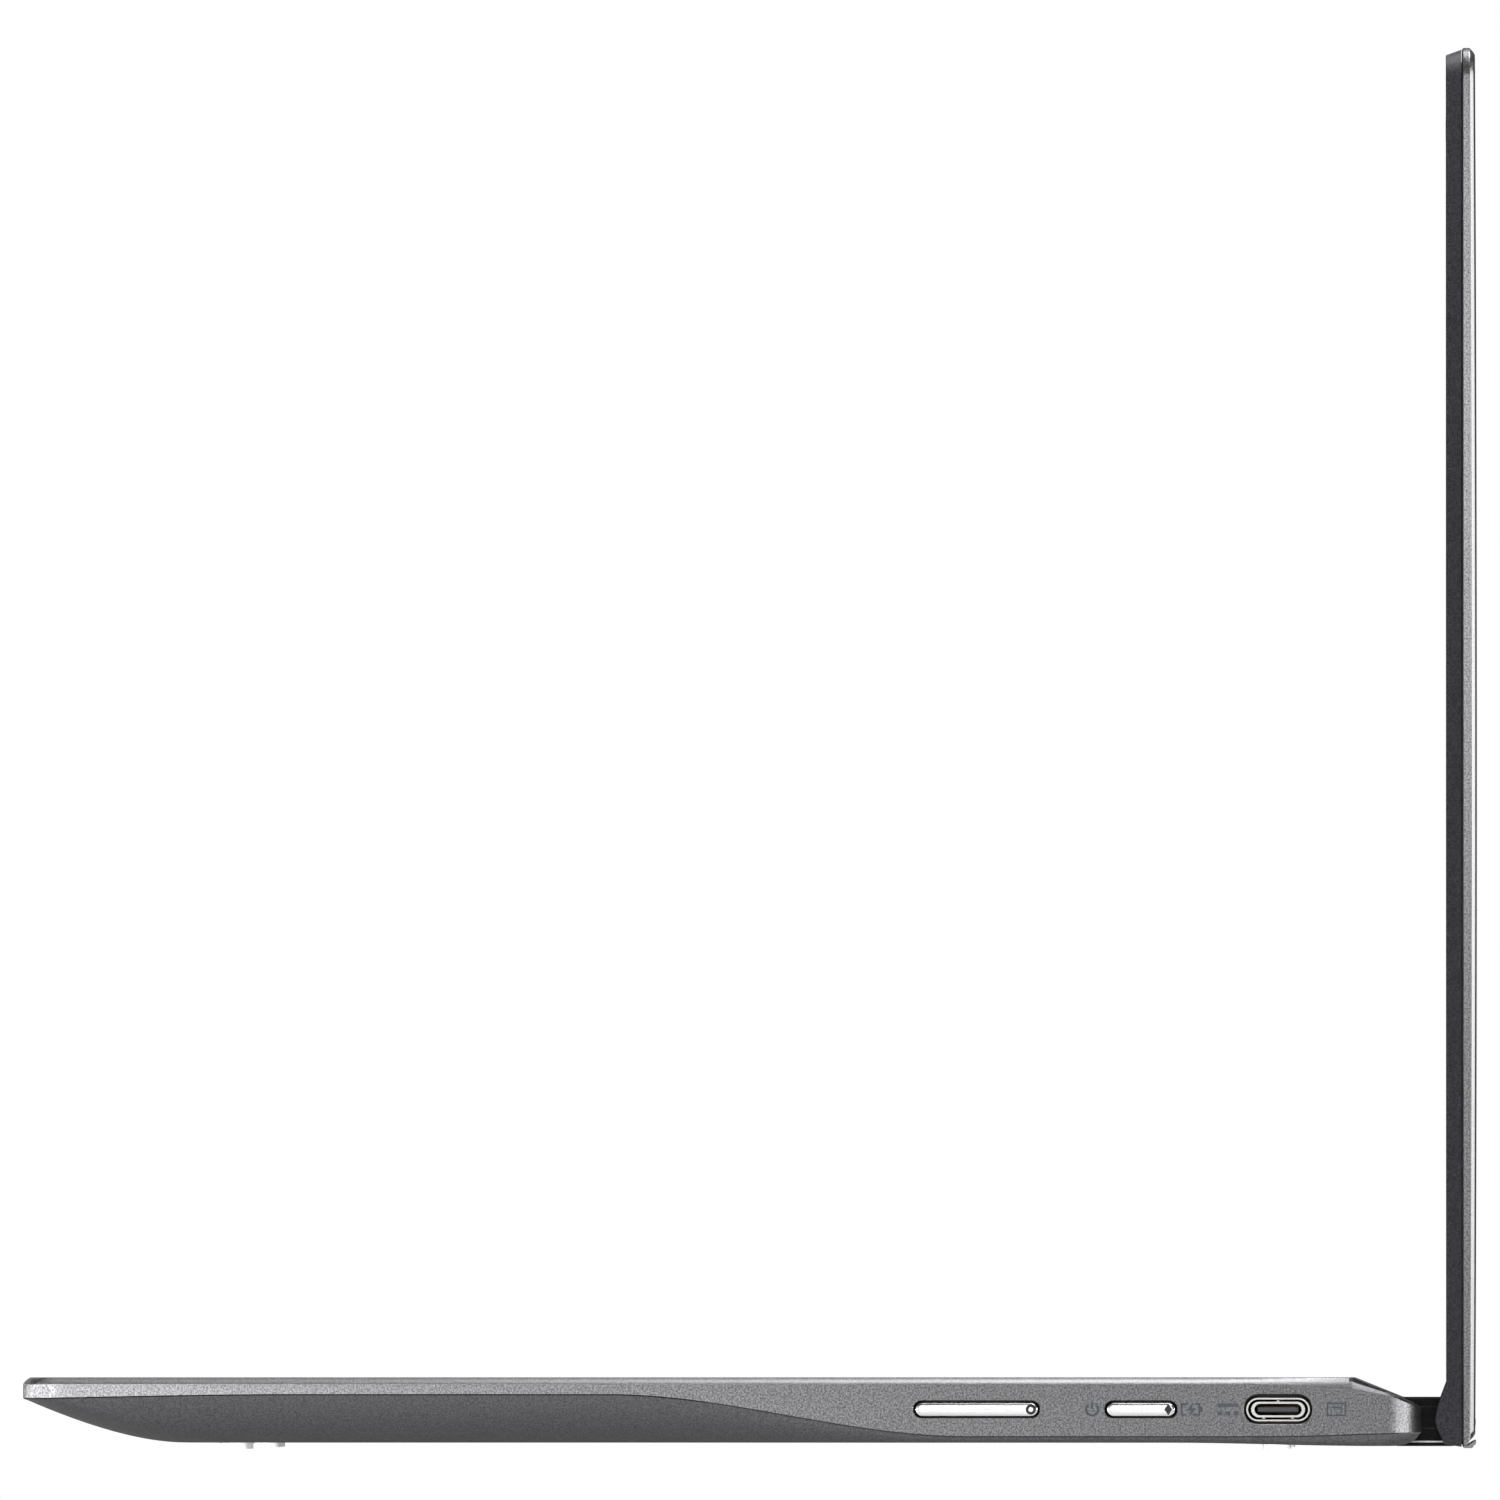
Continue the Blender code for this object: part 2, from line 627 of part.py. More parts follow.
def make_electronics():
    battery = box("battery_pack", (-98.0, -84.0, INSIDE), (98.0, -22.0, INSIDE + 4.6), "battery_film")
    grooves = [((x - 0.6, -85.0, INSIDE + 4.0), (x + 0.6, -21.0, INSIDE + 6.0)) for x in (-33.0, 33.0)]
    boolean(battery, add_object("battery_grooves", boxes_mesh("battery_grooves", grooves)))

    board = box("mainboard", (-132.0, -12.0, 3.0), (10.0, 84.0, 3.8), "circuit_board")
    chips = [
        ((-52.0, 20.0, 3.5), (-28.0, 44.0, 4.6)),
        ((-80.0, 18.0, 3.5), (-66.0, 30.0, 4.7)),
        ((-80.0, 36.0, 3.5), (-66.0, 48.0, 4.7)),
        ((-20.0, -4.0, 3.5), (-6.0, 10.0, 4.6)),
        ((-112.0, -8.0, 3.5), (-104.0, 6.0, 5.0)),
    ]
    boolean(board, add_object("mainboard_chips", boxes_mesh("mainboard_chips", chips)), "UNION")
    boolean(board, box("mainboard_corner", (-140.0, -20.0, 0.0), (-120.0, 10.0, 8.0)))

    box("heat_spreader", (-56.0, 16.0, 4.7), (-24.0, 48.0, 5.2), "copper")
    box("wifi_card", (-110.0, 12.0, 4.6), (-88.0, 42.0, 5.8), "circuit_board")
    make_heat_pipe()
    make_fan()
    for side, name in ((-1, "speaker_left"), (1, "speaker_right")):
        low_x, high_x = sorted((side * 104.0, side * 128.0))
        speaker = box(name, (low_x, -84.0, INSIDE), (high_x, -42.0, INSIDE + 4.0), "dark_plastic")
        cone = cylinder(name + "_cone", "Z", (side * 116.0, -63.0, INSIDE + 4.2), 8.0, 1.6)
        boolean(speaker, cone)

    switches = [
        ((HALF - 4.4, VOLUME[0] - 7.5, 5.8), (HALF - 3.5, VOLUME[0] - 4.5, 7.6)),
        ((HALF - 4.4, VOLUME[0] + 4.5, 5.8), (HALF - 3.5, VOLUME[0] + 7.5, 7.6)),
        ((HALF - 4.4, POWER[0] - 1.5, 5.8), (HALF - 3.5, POWER[0] + 1.5, 7.6)),
    ]
    low = (HALF - 5.0, VOLUME[0] - 12.0, 4.0)
    high = (HALF - 4.2, POWER[0] + 7.0, 7.6)
    side_board = box("side_switch_board", low, high, "circuit_board")
    boolean(side_board, add_object("switches", boxes_mesh("switches", switches)), "UNION")


FAN_CENTRE = (44.0, 68.0)
FAN_HALF = 24.0
FAN_HEIGHT = 4.6


def make_heat_pipe():
    """A flattened copper tube from the processor to the fan's outlet."""
    curve = bpy.data.curves.new("heat_pipe", "CURVE")
    curve.dimensions = "3D"
    curve.bevel_depth = 1.0 * MM
    curve.bevel_resolution = 2
    curve.use_fill_caps = True
    bends = ((-50.0, 32.0), (-30.0, 32.0), (-16.0, 36.0), (-6.0, 50.0), (-4.0, 72.0), (2.0, 90.0), (16.0, 96.0))
    spline = curve.splines.new("POLY")
    spline.points.add(len(bends) - 1)
    for point, (x, y) in zip(spline.points, bends):
        point.co = (x * MM, y * MM, 6.3 * MM, 1.0)
    pipe = bpy.data.objects.new("heat_pipe", curve)
    curve.materials.append(MATERIAL["copper"])
    PARTS.objects.link(pipe)


def make_fan():
    x, y = FAN_CENTRE
    top = INSIDE + FAN_HEIGHT
    low, high = (x - FAN_HALF, y - FAN_HALF, INSIDE), (x + FAN_HALF, y + FAN_HALF, top)
    housing = box("fan_housing", low, high, "dark_plastic")
    boolean(housing, cylinder("fan_chamber", "Z", (x, y, INSIDE + 2.3), 22.0, 3.4, segments=36))
    boolean(housing, cylinder("fan_inlet", "Z", (x, y, top), 15.0, 4.0, segments=36))
    boolean(housing, box("fan_outlet", (x - 20.0, y + 10.0, INSIDE + 0.8), (x + 20.0, y + 30.0, top - 0.8)))

    rotor = cylinder("fan_rotor", "Z", (x, y, INSIDE + 2.3), 9.0, 2.4, "dark_plastic", segments=26)
    bm = bmesh.new()
    blades = 13
    for i in range(blades):
        turn = Matrix.Rotation(2 * math.pi * i / blades, 4, "Z")
        lean = Matrix.Rotation(math.radians(28), 4, "Z")
        place = (
            Matrix.Translation(Vector((x, y, INSIDE + 2.3)) * MM)
            @ turn
            @ Matrix.Translation(Vector((14.2, 2.4, 0.0)) * MM)
            @ lean
            @ Matrix.Diagonal((13.0 * MM, 0.7 * MM, 2.0 * MM, 1.0))
        )
        bmesh.ops.create_cube(bm, size=1.0, matrix=place)
    boolean(rotor, add_object("fan_blades", mesh_from_bmesh("fan_blades", bm)), "UNION")


def make_feet():
    for side, x_name in ((-1, "left"), (1, "right")):
        for y, y_name in ((FRONT + 34.5, "front"), (FRONT + 210.5, "rear")):
            outline = capsule_outline(44.0, 4.6, 8)
            name = f"foot_{y_name}_{x_name}"
            prism(name, outline, "Z", 0.0, FOOT_HEIGHT - 0.05, (side * 96.0, y), "black_rubber")


def make_case_screws(bottom):
    spots = [(side * 118.0, y) for side in (-1, 1) for y in (-30.0, 96.0)]
    spots += [(0.0, -97.0 + 6.0), (0.0, 96.0)]
    shallow = [("Z", (x, y, FLOOR - 1.0 + 0.6), 2.9, 2.0) for x, y in spots]
    through = [("Z", (x, y, FLOOR + 1.0), 1.5, 6.0) for x, y in spots]
    boolean(bottom, add_object("screw_head_cutter", cylinders_mesh("screw_heads", shallow, 16)))
    boolean(bottom, add_object("screw_hole_cutter", cylinders_mesh("screw_holes", through, 12)))
    for number, (x, y) in enumerate(spots, start=1):
        name = f"case_screw_{number}"
        head = cylinder(name, "Z", (x, y, FLOOR + 0.3), 2.6, 0.5, "steel", segments=16)
        boolean(head, cylinder(name + "_shank", "Z", (x, y, FLOOR + 1.2), 1.0, 1.5, segments=12), "UNION")
        cross = [((x - 1.3, y - 0.3, 0.0), (x + 1.3, y + 0.3, FLOOR + 0.3))]
        cross.append(((x - 0.3, y - 1.3, 0.0), (x + 0.3, y + 1.3, FLOOR + 0.3)))
        for part, limits in enumerate(cross):
            boolean(head, box(f"{name}_slot_{part}", *limits))


# ---------------------------------------------------------------- hinges
def make_hinges():
    width = LINK_WIDTH - 0.2
    for side, x_name in ((-1, "left"), (1, "right")):
        centre = side * LINK_CENTRE
        middle = ((AXIS_A[0] + AXIS_B[0]) / 2, AXIS_A[1])
        outline = capsule_outline(AXIS_SPACING + 2 * LINK_RADIUS, 2 * LINK_RADIUS, 10)
        low, high = centre - width / 2, centre + width / 2
        link = prism(f"hinge_link_{x_name}", outline, "X", low, high, middle, "hinge_black")
        bores = [("X", (centre, *axis), BORE_RADIUS, width + 4.0) for axis in (AXIS_A, AXIS_B)]
        boolean(link, add_object(f"link_bores_{x_name}", cylinders_mesh(f"bores_{x_name}", bores)))

        inner = centre - side * (LINK_WIDTH / 2 + NOTCH_MARGIN + GAP)  # inboard face of the notch
        lug_x = inner - side * LUG_THICKNESS / 2
        tip = centre + side * (width / 2 - 1.0)
        for axis, label in ((AXIS_A, "base"), (AXIS_B, "lid")):
            root = inner - side * LUG_THICKNESS
            shaft_middle, shaft_length = (root + tip) / 2, abs(tip - root)
            name = f"hinge_{label}_arm_{x_name}"
            arm = cylinder(name, "X", (shaft_middle, *axis), SHAFT_RADIUS, shaft_length, "steel")
            lug = cylinder(name + "_lug", "X", (lug_x, *axis), LUG_RADIUS, LUG_THICKNESS)
            boolean(arm, lug, "UNION")
            plate_x = sorted((inner - side * 0.3, inner - side * 12.0))
            if label == "base":
                low = (plate_x[0], axis[0] - 24.0, axis[1] - 1.5)
                high = (plate_x[1], axis[0] - 0.6, axis[1] - 0.3)
            else:
                low = (plate_x[0], LID_FACE + 1.3, axis[1] + 0.4)
                high = (plate_x[1], LID_FACE + 2.4, axis[1] + 20.0)
            boolean(arm, box(name + "_plate", low, high), "UNION")


# ---------------------------------------------------------------- lid
# Lid shapes are made lying down, as (x, height from the lid's lower edge, depth behind the screen face),
# and LID_PLACE stands them up.
LID_PLACE = Matrix.Translation(Vector((0.0, LID_FACE, LID_BOTTOM)) * MM) @ Matrix(
    ((1, 0, 0, 0), (0, 0, 1, 0), (0, 1, 0, 0), (0, 0, 0, 1))
)
LID_STATIONS = [15.0, 45.0, 80.0, 117.5, 155.0, 190.0, 215.0]
BULGE_TOP = 11.0  # the bezel swells below this height, round the lid shafts
# (height, how far the bulge stands out of the screen face)
BULGE = ((0.0, 0.0), (0.5, 0.35), (2.9, 1.5), (4.5, 1.9), (6.2, 1.6), (8.2, 1.05), (BULGE_TOP, 0.0))


def bulge_at(height):
    for (low, a), (high, b) in zip(BULGE, BULGE[1:]):
        if low <= height <= high:
            return a + (b - a) * (height - low) / (high - low)
    return 0.0


def lid_level(depth, inset, bottom_inset, stations=LID_STATIONS, radius=LID_CORNER):
    """depth is a number, or a function of the height up the lid."""
    outline = half_outline(
        bottom_inset, LID_LENGTH - inset, lambda y: HALF - inset, 1.2, radius - min(inset, 2.0), stations, 4
    )
    return [(x, y, depth(y) if callable(depth) else depth) for x, y in outline]


def crowned(depth):
    """A depth that follows the lid's slightly crowned outer face."""
    return lambda y: depth + LID_CROWN * (1 - (2 * y / LID_LENGTH - 1) ** 2)


def lid_box(low, high):
    """Box corners from lid coordinates (x, height, depth) to the frame."""
    (x0, h0, d0), (x1, h1, d1) = low, high
    return (x0, LID_FACE + d0, LID_BOTTOM + h0), (x1, LID_FACE + d1, LID_BOTTOM + h1)


def make_lid_shells():
    reach = AXIS_B[1] + LINK_RADIUS + NOTCH_MARGIN
    notches = add_object(
        "lid_notch_cutter", boxes_mesh("lid_notches", notch_boxes(LID_FACE - 5, LID_FACE + 9, -5, reach))
    )
    outer = LID_THICKNESS
    cover = ladder_loft(
        "lid_cover",
        [
            lid_level(COVER_DEPTH, 0.0, 0.0),
            lid_level(outer - LID_FOOT_CHAMFER[0], 0.0, 0.0),
            lid_level(crowned(outer - LID_CHAMFER), 0.0, LID_FOOT_CHAMFER[1] - 1.0),
            lid_level(crowned(outer), LID_CHAMFER, LID_FOOT_CHAMFER[1]),
        ],
        LID_PLACE,
        "lid_metal",
    )
    inner = outer - COVER_WALL
    cover_hollow = ladder_loft(
        "lid_hollow_cutter",
        [lid_level(COVER_DEPTH - 1, 1.8, 2.6), lid_level(crowned(inner), 1.8, 2.6)],
        LID_PLACE,
    )
    boolean(cover, cover_hollow)
    boolean(cover, notches)

    low_inset, high_inset = BEZEL_DRAFT
    bulge_stations = [y for y, _ in BULGE[2:]] + LID_STATIONS
    bezel = ladder_loft(
        "display_bezel",
        [
            lid_level(lambda y: -bulge_at(y), low_inset, 0.3, bulge_stations),
            lid_level(COVER_DEPTH - GAP, high_inset, 0.0, bulge_stations),
        ],
        LID_PLACE,
        "bezel_plastic",
    )
    bezel_hollow = ladder_loft(
        "bezel_hollow_cutter",
        [
            lid_level(lambda y: 0.9 - bulge_at(y) * 1.05, 2.4, 1.6, bulge_stations),
            lid_level(COVER_DEPTH + 1, 2.4, 1.6, bulge_stations),
        ],
        LID_PLACE,
    )
    boolean(bezel, bezel_hollow)
    half, bottom, top = GLASS["half"] + SEAL, GLASS["bottom"] - SEAL, GLASS["top"] + SEAL
    boolean(bezel, box("bezel_window", *lid_box((-half, bottom, -3.0), (half, top, 4.0))))
    boolean(bezel, notches)


def make_lid_parts():
    half, bottom, top = GLASS["half"], GLASS["bottom"], GLASS["top"]
    box("cover_glass", *lid_box((-half, bottom, 0.0), (half, top, GLASS["thickness"])), "screen_glass")
    seal_half = half + SEAL - 0.05
    seal = box(
        "screen_seal",
        *lid_box((-seal_half, bottom - SEAL + 0.05, 0.0), (seal_half, top + SEAL - 0.05, 1.0)),
        "black_rubber",
    )
    boolean(seal, box("seal_window", *lid_box((-half - 0.05, bottom - 0.05, -1.0), (half + 0.05, top + 0.05, 3.0))))
    picture_top = LID_LENGTH - 11.0
    picture_bottom = picture_top - ACTIVE[1]
    panel_half = ACTIVE[0] / 2 + 2.5
    low, high = lid_box((-panel_half, picture_bottom - 6.0, 1.1), (panel_half, picture_top + 2.5, 3.6))
    box("lcd_panel", low, high, "lcd")
    box("webcam_module", *lid_box((-22.0, 227.2, 1.2), (22.0, 231.6, 3.4)), "circuit_board")
    box("display_board", *lid_box((-80.0, 13.2, 1.2), (70.0, 25.6, 2.6)), "circuit_board")
    low, high = 2.9, LID_THICKNESS + 0.2
    profile = (
        (low, -0.34),
        (low + 1.5, -0.34),
        (high, 0.5),
        (high, 0.9),
        (high - 0.45, 0.75),
        (LID_THICKNESS - LID_FOOT_CHAMFER[0], -0.06),
        (low, -0.06),
    )
    outline = [(LID_FACE + depth, LID_BOTTOM + height) for depth, height in profile]
    prism("lid_rear_bumper", outline, "X", -84.0, 84.0, material="black_rubber")


top_case, bottom_cover = make_base_shell()
cut_side_openings(top_case)
make_keyboard(top_case)
make_touchpad(top_case)
make_button("volume_rocker", VOLUME, 20.6, 2.25)
make_button("power_button", POWER, 11.5, 2.25)
make_ports()
make_electronics()
make_feet()
make_case_screws(bottom_cover)
make_hinges()
make_lid_shells()
make_lid_parts()
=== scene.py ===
"""The look of the convertible laptop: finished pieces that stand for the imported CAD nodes, procedural
materials, a pale studio and the camera. Lengths are in millimetres; MM turns them into metres."""

import json
import math

import bmesh
import bpy
from mathutils import Matrix, Vector


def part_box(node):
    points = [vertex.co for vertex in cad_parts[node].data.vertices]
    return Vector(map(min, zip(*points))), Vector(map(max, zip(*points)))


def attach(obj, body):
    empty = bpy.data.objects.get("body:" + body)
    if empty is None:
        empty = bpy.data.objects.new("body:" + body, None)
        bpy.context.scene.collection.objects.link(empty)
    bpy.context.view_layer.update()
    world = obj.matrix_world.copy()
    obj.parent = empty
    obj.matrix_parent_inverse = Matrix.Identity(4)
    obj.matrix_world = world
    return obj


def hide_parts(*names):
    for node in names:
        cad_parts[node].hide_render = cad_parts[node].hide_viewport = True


MM = 0.001

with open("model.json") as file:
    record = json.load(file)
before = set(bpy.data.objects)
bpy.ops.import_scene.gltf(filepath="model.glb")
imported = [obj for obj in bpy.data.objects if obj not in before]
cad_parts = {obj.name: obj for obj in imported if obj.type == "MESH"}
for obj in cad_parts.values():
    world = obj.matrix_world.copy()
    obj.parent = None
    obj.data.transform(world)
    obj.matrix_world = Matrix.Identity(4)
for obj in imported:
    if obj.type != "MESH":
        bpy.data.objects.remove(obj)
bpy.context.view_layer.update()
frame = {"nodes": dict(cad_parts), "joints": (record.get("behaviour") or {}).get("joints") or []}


def node_box(node):
    """(low corner, high corner) of a CAD node, in millimetres."""
    return tuple(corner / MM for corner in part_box(node))


def node_middle(node):
    """The middle of a CAD node's box, in millimetres."""
    return [(a + b) / 2 for a, b in zip(*node_box(node))]


# ---------------------------------------------------------------- places taken from the CAD
BASE_LENGTH = 234.95
TOP_LOW, TOP_HIGH = node_box("top_case")
LID_LOW, LID_HIGH = node_box("lid_cover")
HALF = TOP_HIGH.x
FRONT, REAR = TOP_LOW.y, TOP_LOW.y + BASE_LENGTH
DECK = TOP_HIGH.z
FLOOR = node_box("bottom_cover")[0].z
LID_BOTTOM = LID_LOW.z
LID_LENGTH = LID_HIGH.z - LID_LOW.z
LID_FACE = node_box("cover_glass")[0].y
JOINTS = {joint["name"]: joint for joint in frame["joints"]}
AXIS_A, AXIS_B = [[v / MM for v in JOINTS[name]["pos_m"][1:]] for name in ("link_right_turn", "lid_turn")]

# ---------------------------------------------------------------- sizes shared by base and lid
WALL = 1.4
PRINT = 0.03  # how far the side wall stands back, to leave room for the printed marks
LINK_CENTRE, LINK_WIDTH, LINK_RADIUS, NOTCH_MARGIN = 110.0, 28.0, 4.1, 0.4


# ---------------------------------------------------------------- mesh helpers
def mesh_from(name, bm):
    bmesh.ops.recalc_face_normals(bm, faces=bm.faces)
    mesh = bpy.data.meshes.new(name)
    bm.to_mesh(mesh)
    bm.free()
    return mesh


def new_object(name, mesh):
    obj = bpy.data.objects.new(name, mesh)
    bpy.context.scene.collection.objects.link(obj)
    return obj


def remove(obj):
    mesh = obj.data
    bpy.data.objects.remove(obj)
    bpy.data.meshes.remove(mesh)


def bake(obj):
    """Applies the object's modifiers."""
    bpy.context.view_layer.update()
    graph = bpy.context.evaluated_depsgraph_get()
    mesh = bpy.data.meshes.new_from_object(obj.evaluated_get(graph))
    old = obj.data
    obj.modifiers.clear()
    obj.data = mesh
    bpy.data.meshes.remove(old)


def combine(obj, *others, operation="DIFFERENCE"):
    """Cuts the others from obj, or joins them to it, and removes them."""
    for other in others:
        modifier = obj.modifiers.new("combine", "BOOLEAN")
        modifier.operation = operation
        modifier.object = other
        modifier.solver = "EXACT"
    bake(obj)
    for other in others:
        remove(other)


def join(objs, name):
    """One object with the meshes of all the others, which it removes."""
    bm = bmesh.new()
    for obj in objs:
        bm.from_mesh(obj.data)
        remove(obj)
    return new_object(name, mesh_from(name, bm))


def soften(obj, sharp, width):
    """Rounds the edges by a width, if any, then shades smoothly, with edges over sharp degrees crisp."""
    if width:
        bevel = obj.modifiers.new("bevel", "BEVEL")
        bevel.width = width * MM
        bevel.segments = 2
        bevel.limit_method = "ANGLE"
        bevel.angle_limit = math.radians(30)
    bake(obj)
    obj.data.shade_smooth()
    obj.data.set_sharp_from_angle(angle=math.radians(sharp))
    obj.modifiers.new("weighted_normal", "WEIGHTED_NORMAL").keep_sharp = True


def finish(obj, look, replaced=None, body="base", sharp=None, width=0.0, slot=None):
    """Softens a piece, if sharp is given, sets its look, fixes it to its body, and hides the CAD node it
    replaces.
    """
    if sharp:
        soften(obj, sharp, width)
    obj.data.materials.clear()
    obj.data.materials.append(LOOKS[look])
    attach(obj, body)
    slot or SLOTS[look]
    if replaced:
        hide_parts(replaced)


def paint(obj, look, test):
    """Gives the faces that pass test(x, y, z of the face's centre in millimetres, normal) another look."""
    obj.data.materials.append(LOOKS[look])
    index = len(obj.data.materials) - 1
    for face in obj.data.polygons:
        if test(*(face.center / MM), face.normal):
            face.material_index = index


def boxes(name, limits):
    """Separate boxes, each ((low x, y, z), (high x, y, z)), in one mesh."""
    bm = bmesh.new()
    for low, high in limits:
        low, high = Vector(low) * MM, Vector(high) * MM
        place = Matrix.Translation((low + high) / 2) @ Matrix.Diagonal((*(high - low), 1.0))
        bmesh.ops.create_cube(bm, size=1.0, matrix=place)
    return new_object(name, mesh_from(name, bm))


# Turns the Z axis, along which solids are made, to each axis.
TURN = {
    "X": Matrix(((0, 0, 1, 0), (1, 0, 0, 0), (0, 1, 0, 0), (0, 0, 0, 1))),
    "Y": Matrix(((1, 0, 0, 0), (0, 0, -1, 0), (0, 1, 0, 0), (0, 0, 0, 1))),
    "Z": Matrix.Identity(4),
}


def cylinders(name, items, segments=48):
    """Separate cylinders or cones, each (axis, centre, radius at start, radius at end, length)."""
    bm = bmesh.new()
    for axis, centre, first, second, length in items:
        sizes = {"radius1": first * MM, "radius2": second * MM, "depth": length * MM}
        place = Matrix.Translation(Vector(centre) * MM) @ TURN[axis]
        bmesh.ops.create_cone(bm, cap_ends=True, segments=segments, matrix=place, **sizes)
    return new_object(name, mesh_from(name, bm))


def arc(u, v, radius, start, end, steps):
    """Points on an arc round (u, v), between two angles in degrees."""
    turns = [math.radians(start + (end - start) * i / steps) for i in range(steps + 1)]
    return [(u + radius * math.cos(turn), v + radius * math.sin(turn)) for turn in turns]


def capsule(length, height, steps=14):
    radius = height / 2
    reach = length / 2 - radius
    return arc(reach, 0.0, radius, -90, 90, steps) + arc(-reach, 0.0, radius, 90, 270, steps)


def rounded(length, height, radius, steps=6):
    """A rectangle with rounded corners."""
    points = []
    for side, end, start in ((1, -1, -90), (1, 1, 0), (-1, 1, 90), (-1, -1, 180)):
        middle = (side * (length / 2 - radius), end * (height / 2 - radius))
        points += arc(*middle, radius, start, start + 90, steps)
    return points


def capsule_levels(length, height, steps, arc_steps=14):
    """Levels for stack: each step is (how much the capsule shrinks, place along the axis)."""
    return [(capsule(length - shrink, height - shrink, arc_steps), place) for shrink, place in steps]


def rounded_levels(length, height, steps, arc_steps=6):
    """Levels for stack: each step is (how much the rectangle shrinks, radius, place along the axis)."""
    return [
        (rounded(length - shrink, height - shrink, radius, arc_steps), place)
        for shrink, radius, place in steps
    ]


def make_walls(bm, rings):
    """Faces between each closed ring of vertices and the next."""
    for low, high in zip(rings, rings[1:]):
        for i in range(len(low)):
            bm.faces.new((low[i - 1], low[i], high[i], high[i - 1]))


def stack(name, levels, axis="Z", centre=(0.0, 0.0)):
    """A solid through outlines of equal length: levels are (outline, height along the axis)."""
    bm = bmesh.new()
    rings = []
    for outline, height in levels:
        points = [Vector((u + centre[0], v + centre[1], height)) for u, v in outline]
        rings.append([bm.verts.new(point * MM) for point in points])
    make_walls(bm, rings)
    bm.faces.new(rings[0][::-1])
    bm.faces.new(rings[-1])
    bmesh.ops.transform(bm, matrix=TURN[axis], verts=bm.verts)
    return new_object(name, mesh_from(name, bm))


def prism(name, outline, start, end, axis="Z", centre=(0.0, 0.0)):
    return stack(name, [(outline, start), (outline, end)], axis, centre)


def ladder(name, levels, place=Matrix.Identity(4)):
    """A loft through levels, each the right half of a symmetric outline from front to rear, with rungs
    across X closing the first and the last level."""
    bm = bmesh.new()
    rings = []
    for level in levels:
        points = [*level, *[(-x, y, z) for x, y, z in reversed(level)]]
        rings.append([bm.verts.new(Vector(point) * MM) for point in points])
    make_walls(bm, rings)
    for ring in (rings[0], rings[-1]):
        for i in range(len(ring) // 2 - 1):
            bm.faces.new((ring[i], ring[i + 1], ring[-i - 2], ring[-i - 1]))
    bmesh.ops.transform(bm, matrix=place, verts=bm.verts)
    return new_object(name, mesh_from(name, bm))


def half_outline(front, rear, half_width, front_radius, rear_radius, stations, steps=12):
    """The right half of an outline: a rounded front corner, the stations, and a rounded rear corner."""
    turns = [math.radians(90 * i / steps) for i in range(steps + 1)]
    points = []
    for turn in turns:
        y = front + front_radius * (1 - math.cos(turn))
        points.append((half_width(y) - front_radius * (1 - math.sin(turn)), y))
    points += [(half_width(y), y) for y in stations]
    for turn in turns:
        y = rear - rear_radius * (1 - math.sin(turn))
        points.append((half_width(y) - rear_radius * (1 - math.cos(turn)), y))
    return points


def smoothstep(value, low, high):
    share = min(1.0, max(0.0, (value - low) / (high - low)))
    return share * share * (3 - 2 * share)


def spread(start, step, count):
    return [start + step * i for i in range(count)]


# ---------------------------------------------------------------- materials
class Nodes:
    """A short way to build one material's node tree."""

    def __init__(self, name):
        self.material = bpy.data.materials.new(name)
        self.material.use_nodes = True
        self.tree = self.material.node_tree
        self.shader = self.tree.nodes["Principled BSDF"]
        self.position = self.new("ShaderNodeTexCoord").outputs["Object"]

    def link(self, source, target):
        self.tree.links.new(source, target)

    def feed(self, target, value):
        """Links a socket to an input, or sets the input to a number, a vector or a colour tuple."""
        if isinstance(value, bpy.types.NodeSocket):
            self.link(value, target)
        else:
            target.default_value = (*value, 1.0) if isinstance(value, tuple) else value

    def new(self, kind, inputs=None, **settings):
        node = self.tree.nodes.new(kind)
        for key, value in settings.items():
            setattr(node, key, value)
        for key, value in (inputs or {}).items():
            self.feed(node.inputs[key], value)
        return node

    def noise(self, size, detail=2.0, stretch=(1.0, 1.0, 1.0), roughness=0.5):
        """Noise whose grains are about size millimetres across."""
        scaled = self.new("ShaderNodeMapping", {"Scale": Vector(stretch), "Vector": self.position})
        numbers = {"Scale": 1.0 / (size * MM), "Detail": detail, "Roughness": roughness}
        return self.new("ShaderNodeTexNoise", {"Vector": scaled.outputs["Vector"], **numbers}).outputs["Fac"]

    def span(self, value, low, high, start=0.25, end=0.75):
        """Maps start..end of a value onto low..high."""
        limits = {"From Min": start, "From Max": end, "To Min": low, "To Max": high}
        return self.new("ShaderNodeMapRange", {"Value": value, **limits}).outputs["Result"]

    def mix(self, factor, first, second):
        """Mixes two colours. Sockets 6 and 7, and output 2, are a Mix node's colour ones."""
        return self.new("ShaderNodeMix", {0: factor, 6: first, 7: second}, data_type="RGBA").outputs[2]

    def math(self, operation, first, second=0.0):
        return self.new("ShaderNodeMath", {0: first, 1: second}, operation=operation).outputs["Value"]

    def bump(self, height, strength, distance):
        inputs = {"Strength": strength, "Distance": distance * MM, "Height": height}
        self.set(Normal=self.new("ShaderNodeBump", inputs).outputs["Normal"])

    def set(self, **values):
        for key, value in values.items():
            self.feed(self.shader.inputs[key.replace("_", " ")], value)


def shade(colour, share):
    return tuple(c * share for c in colour)


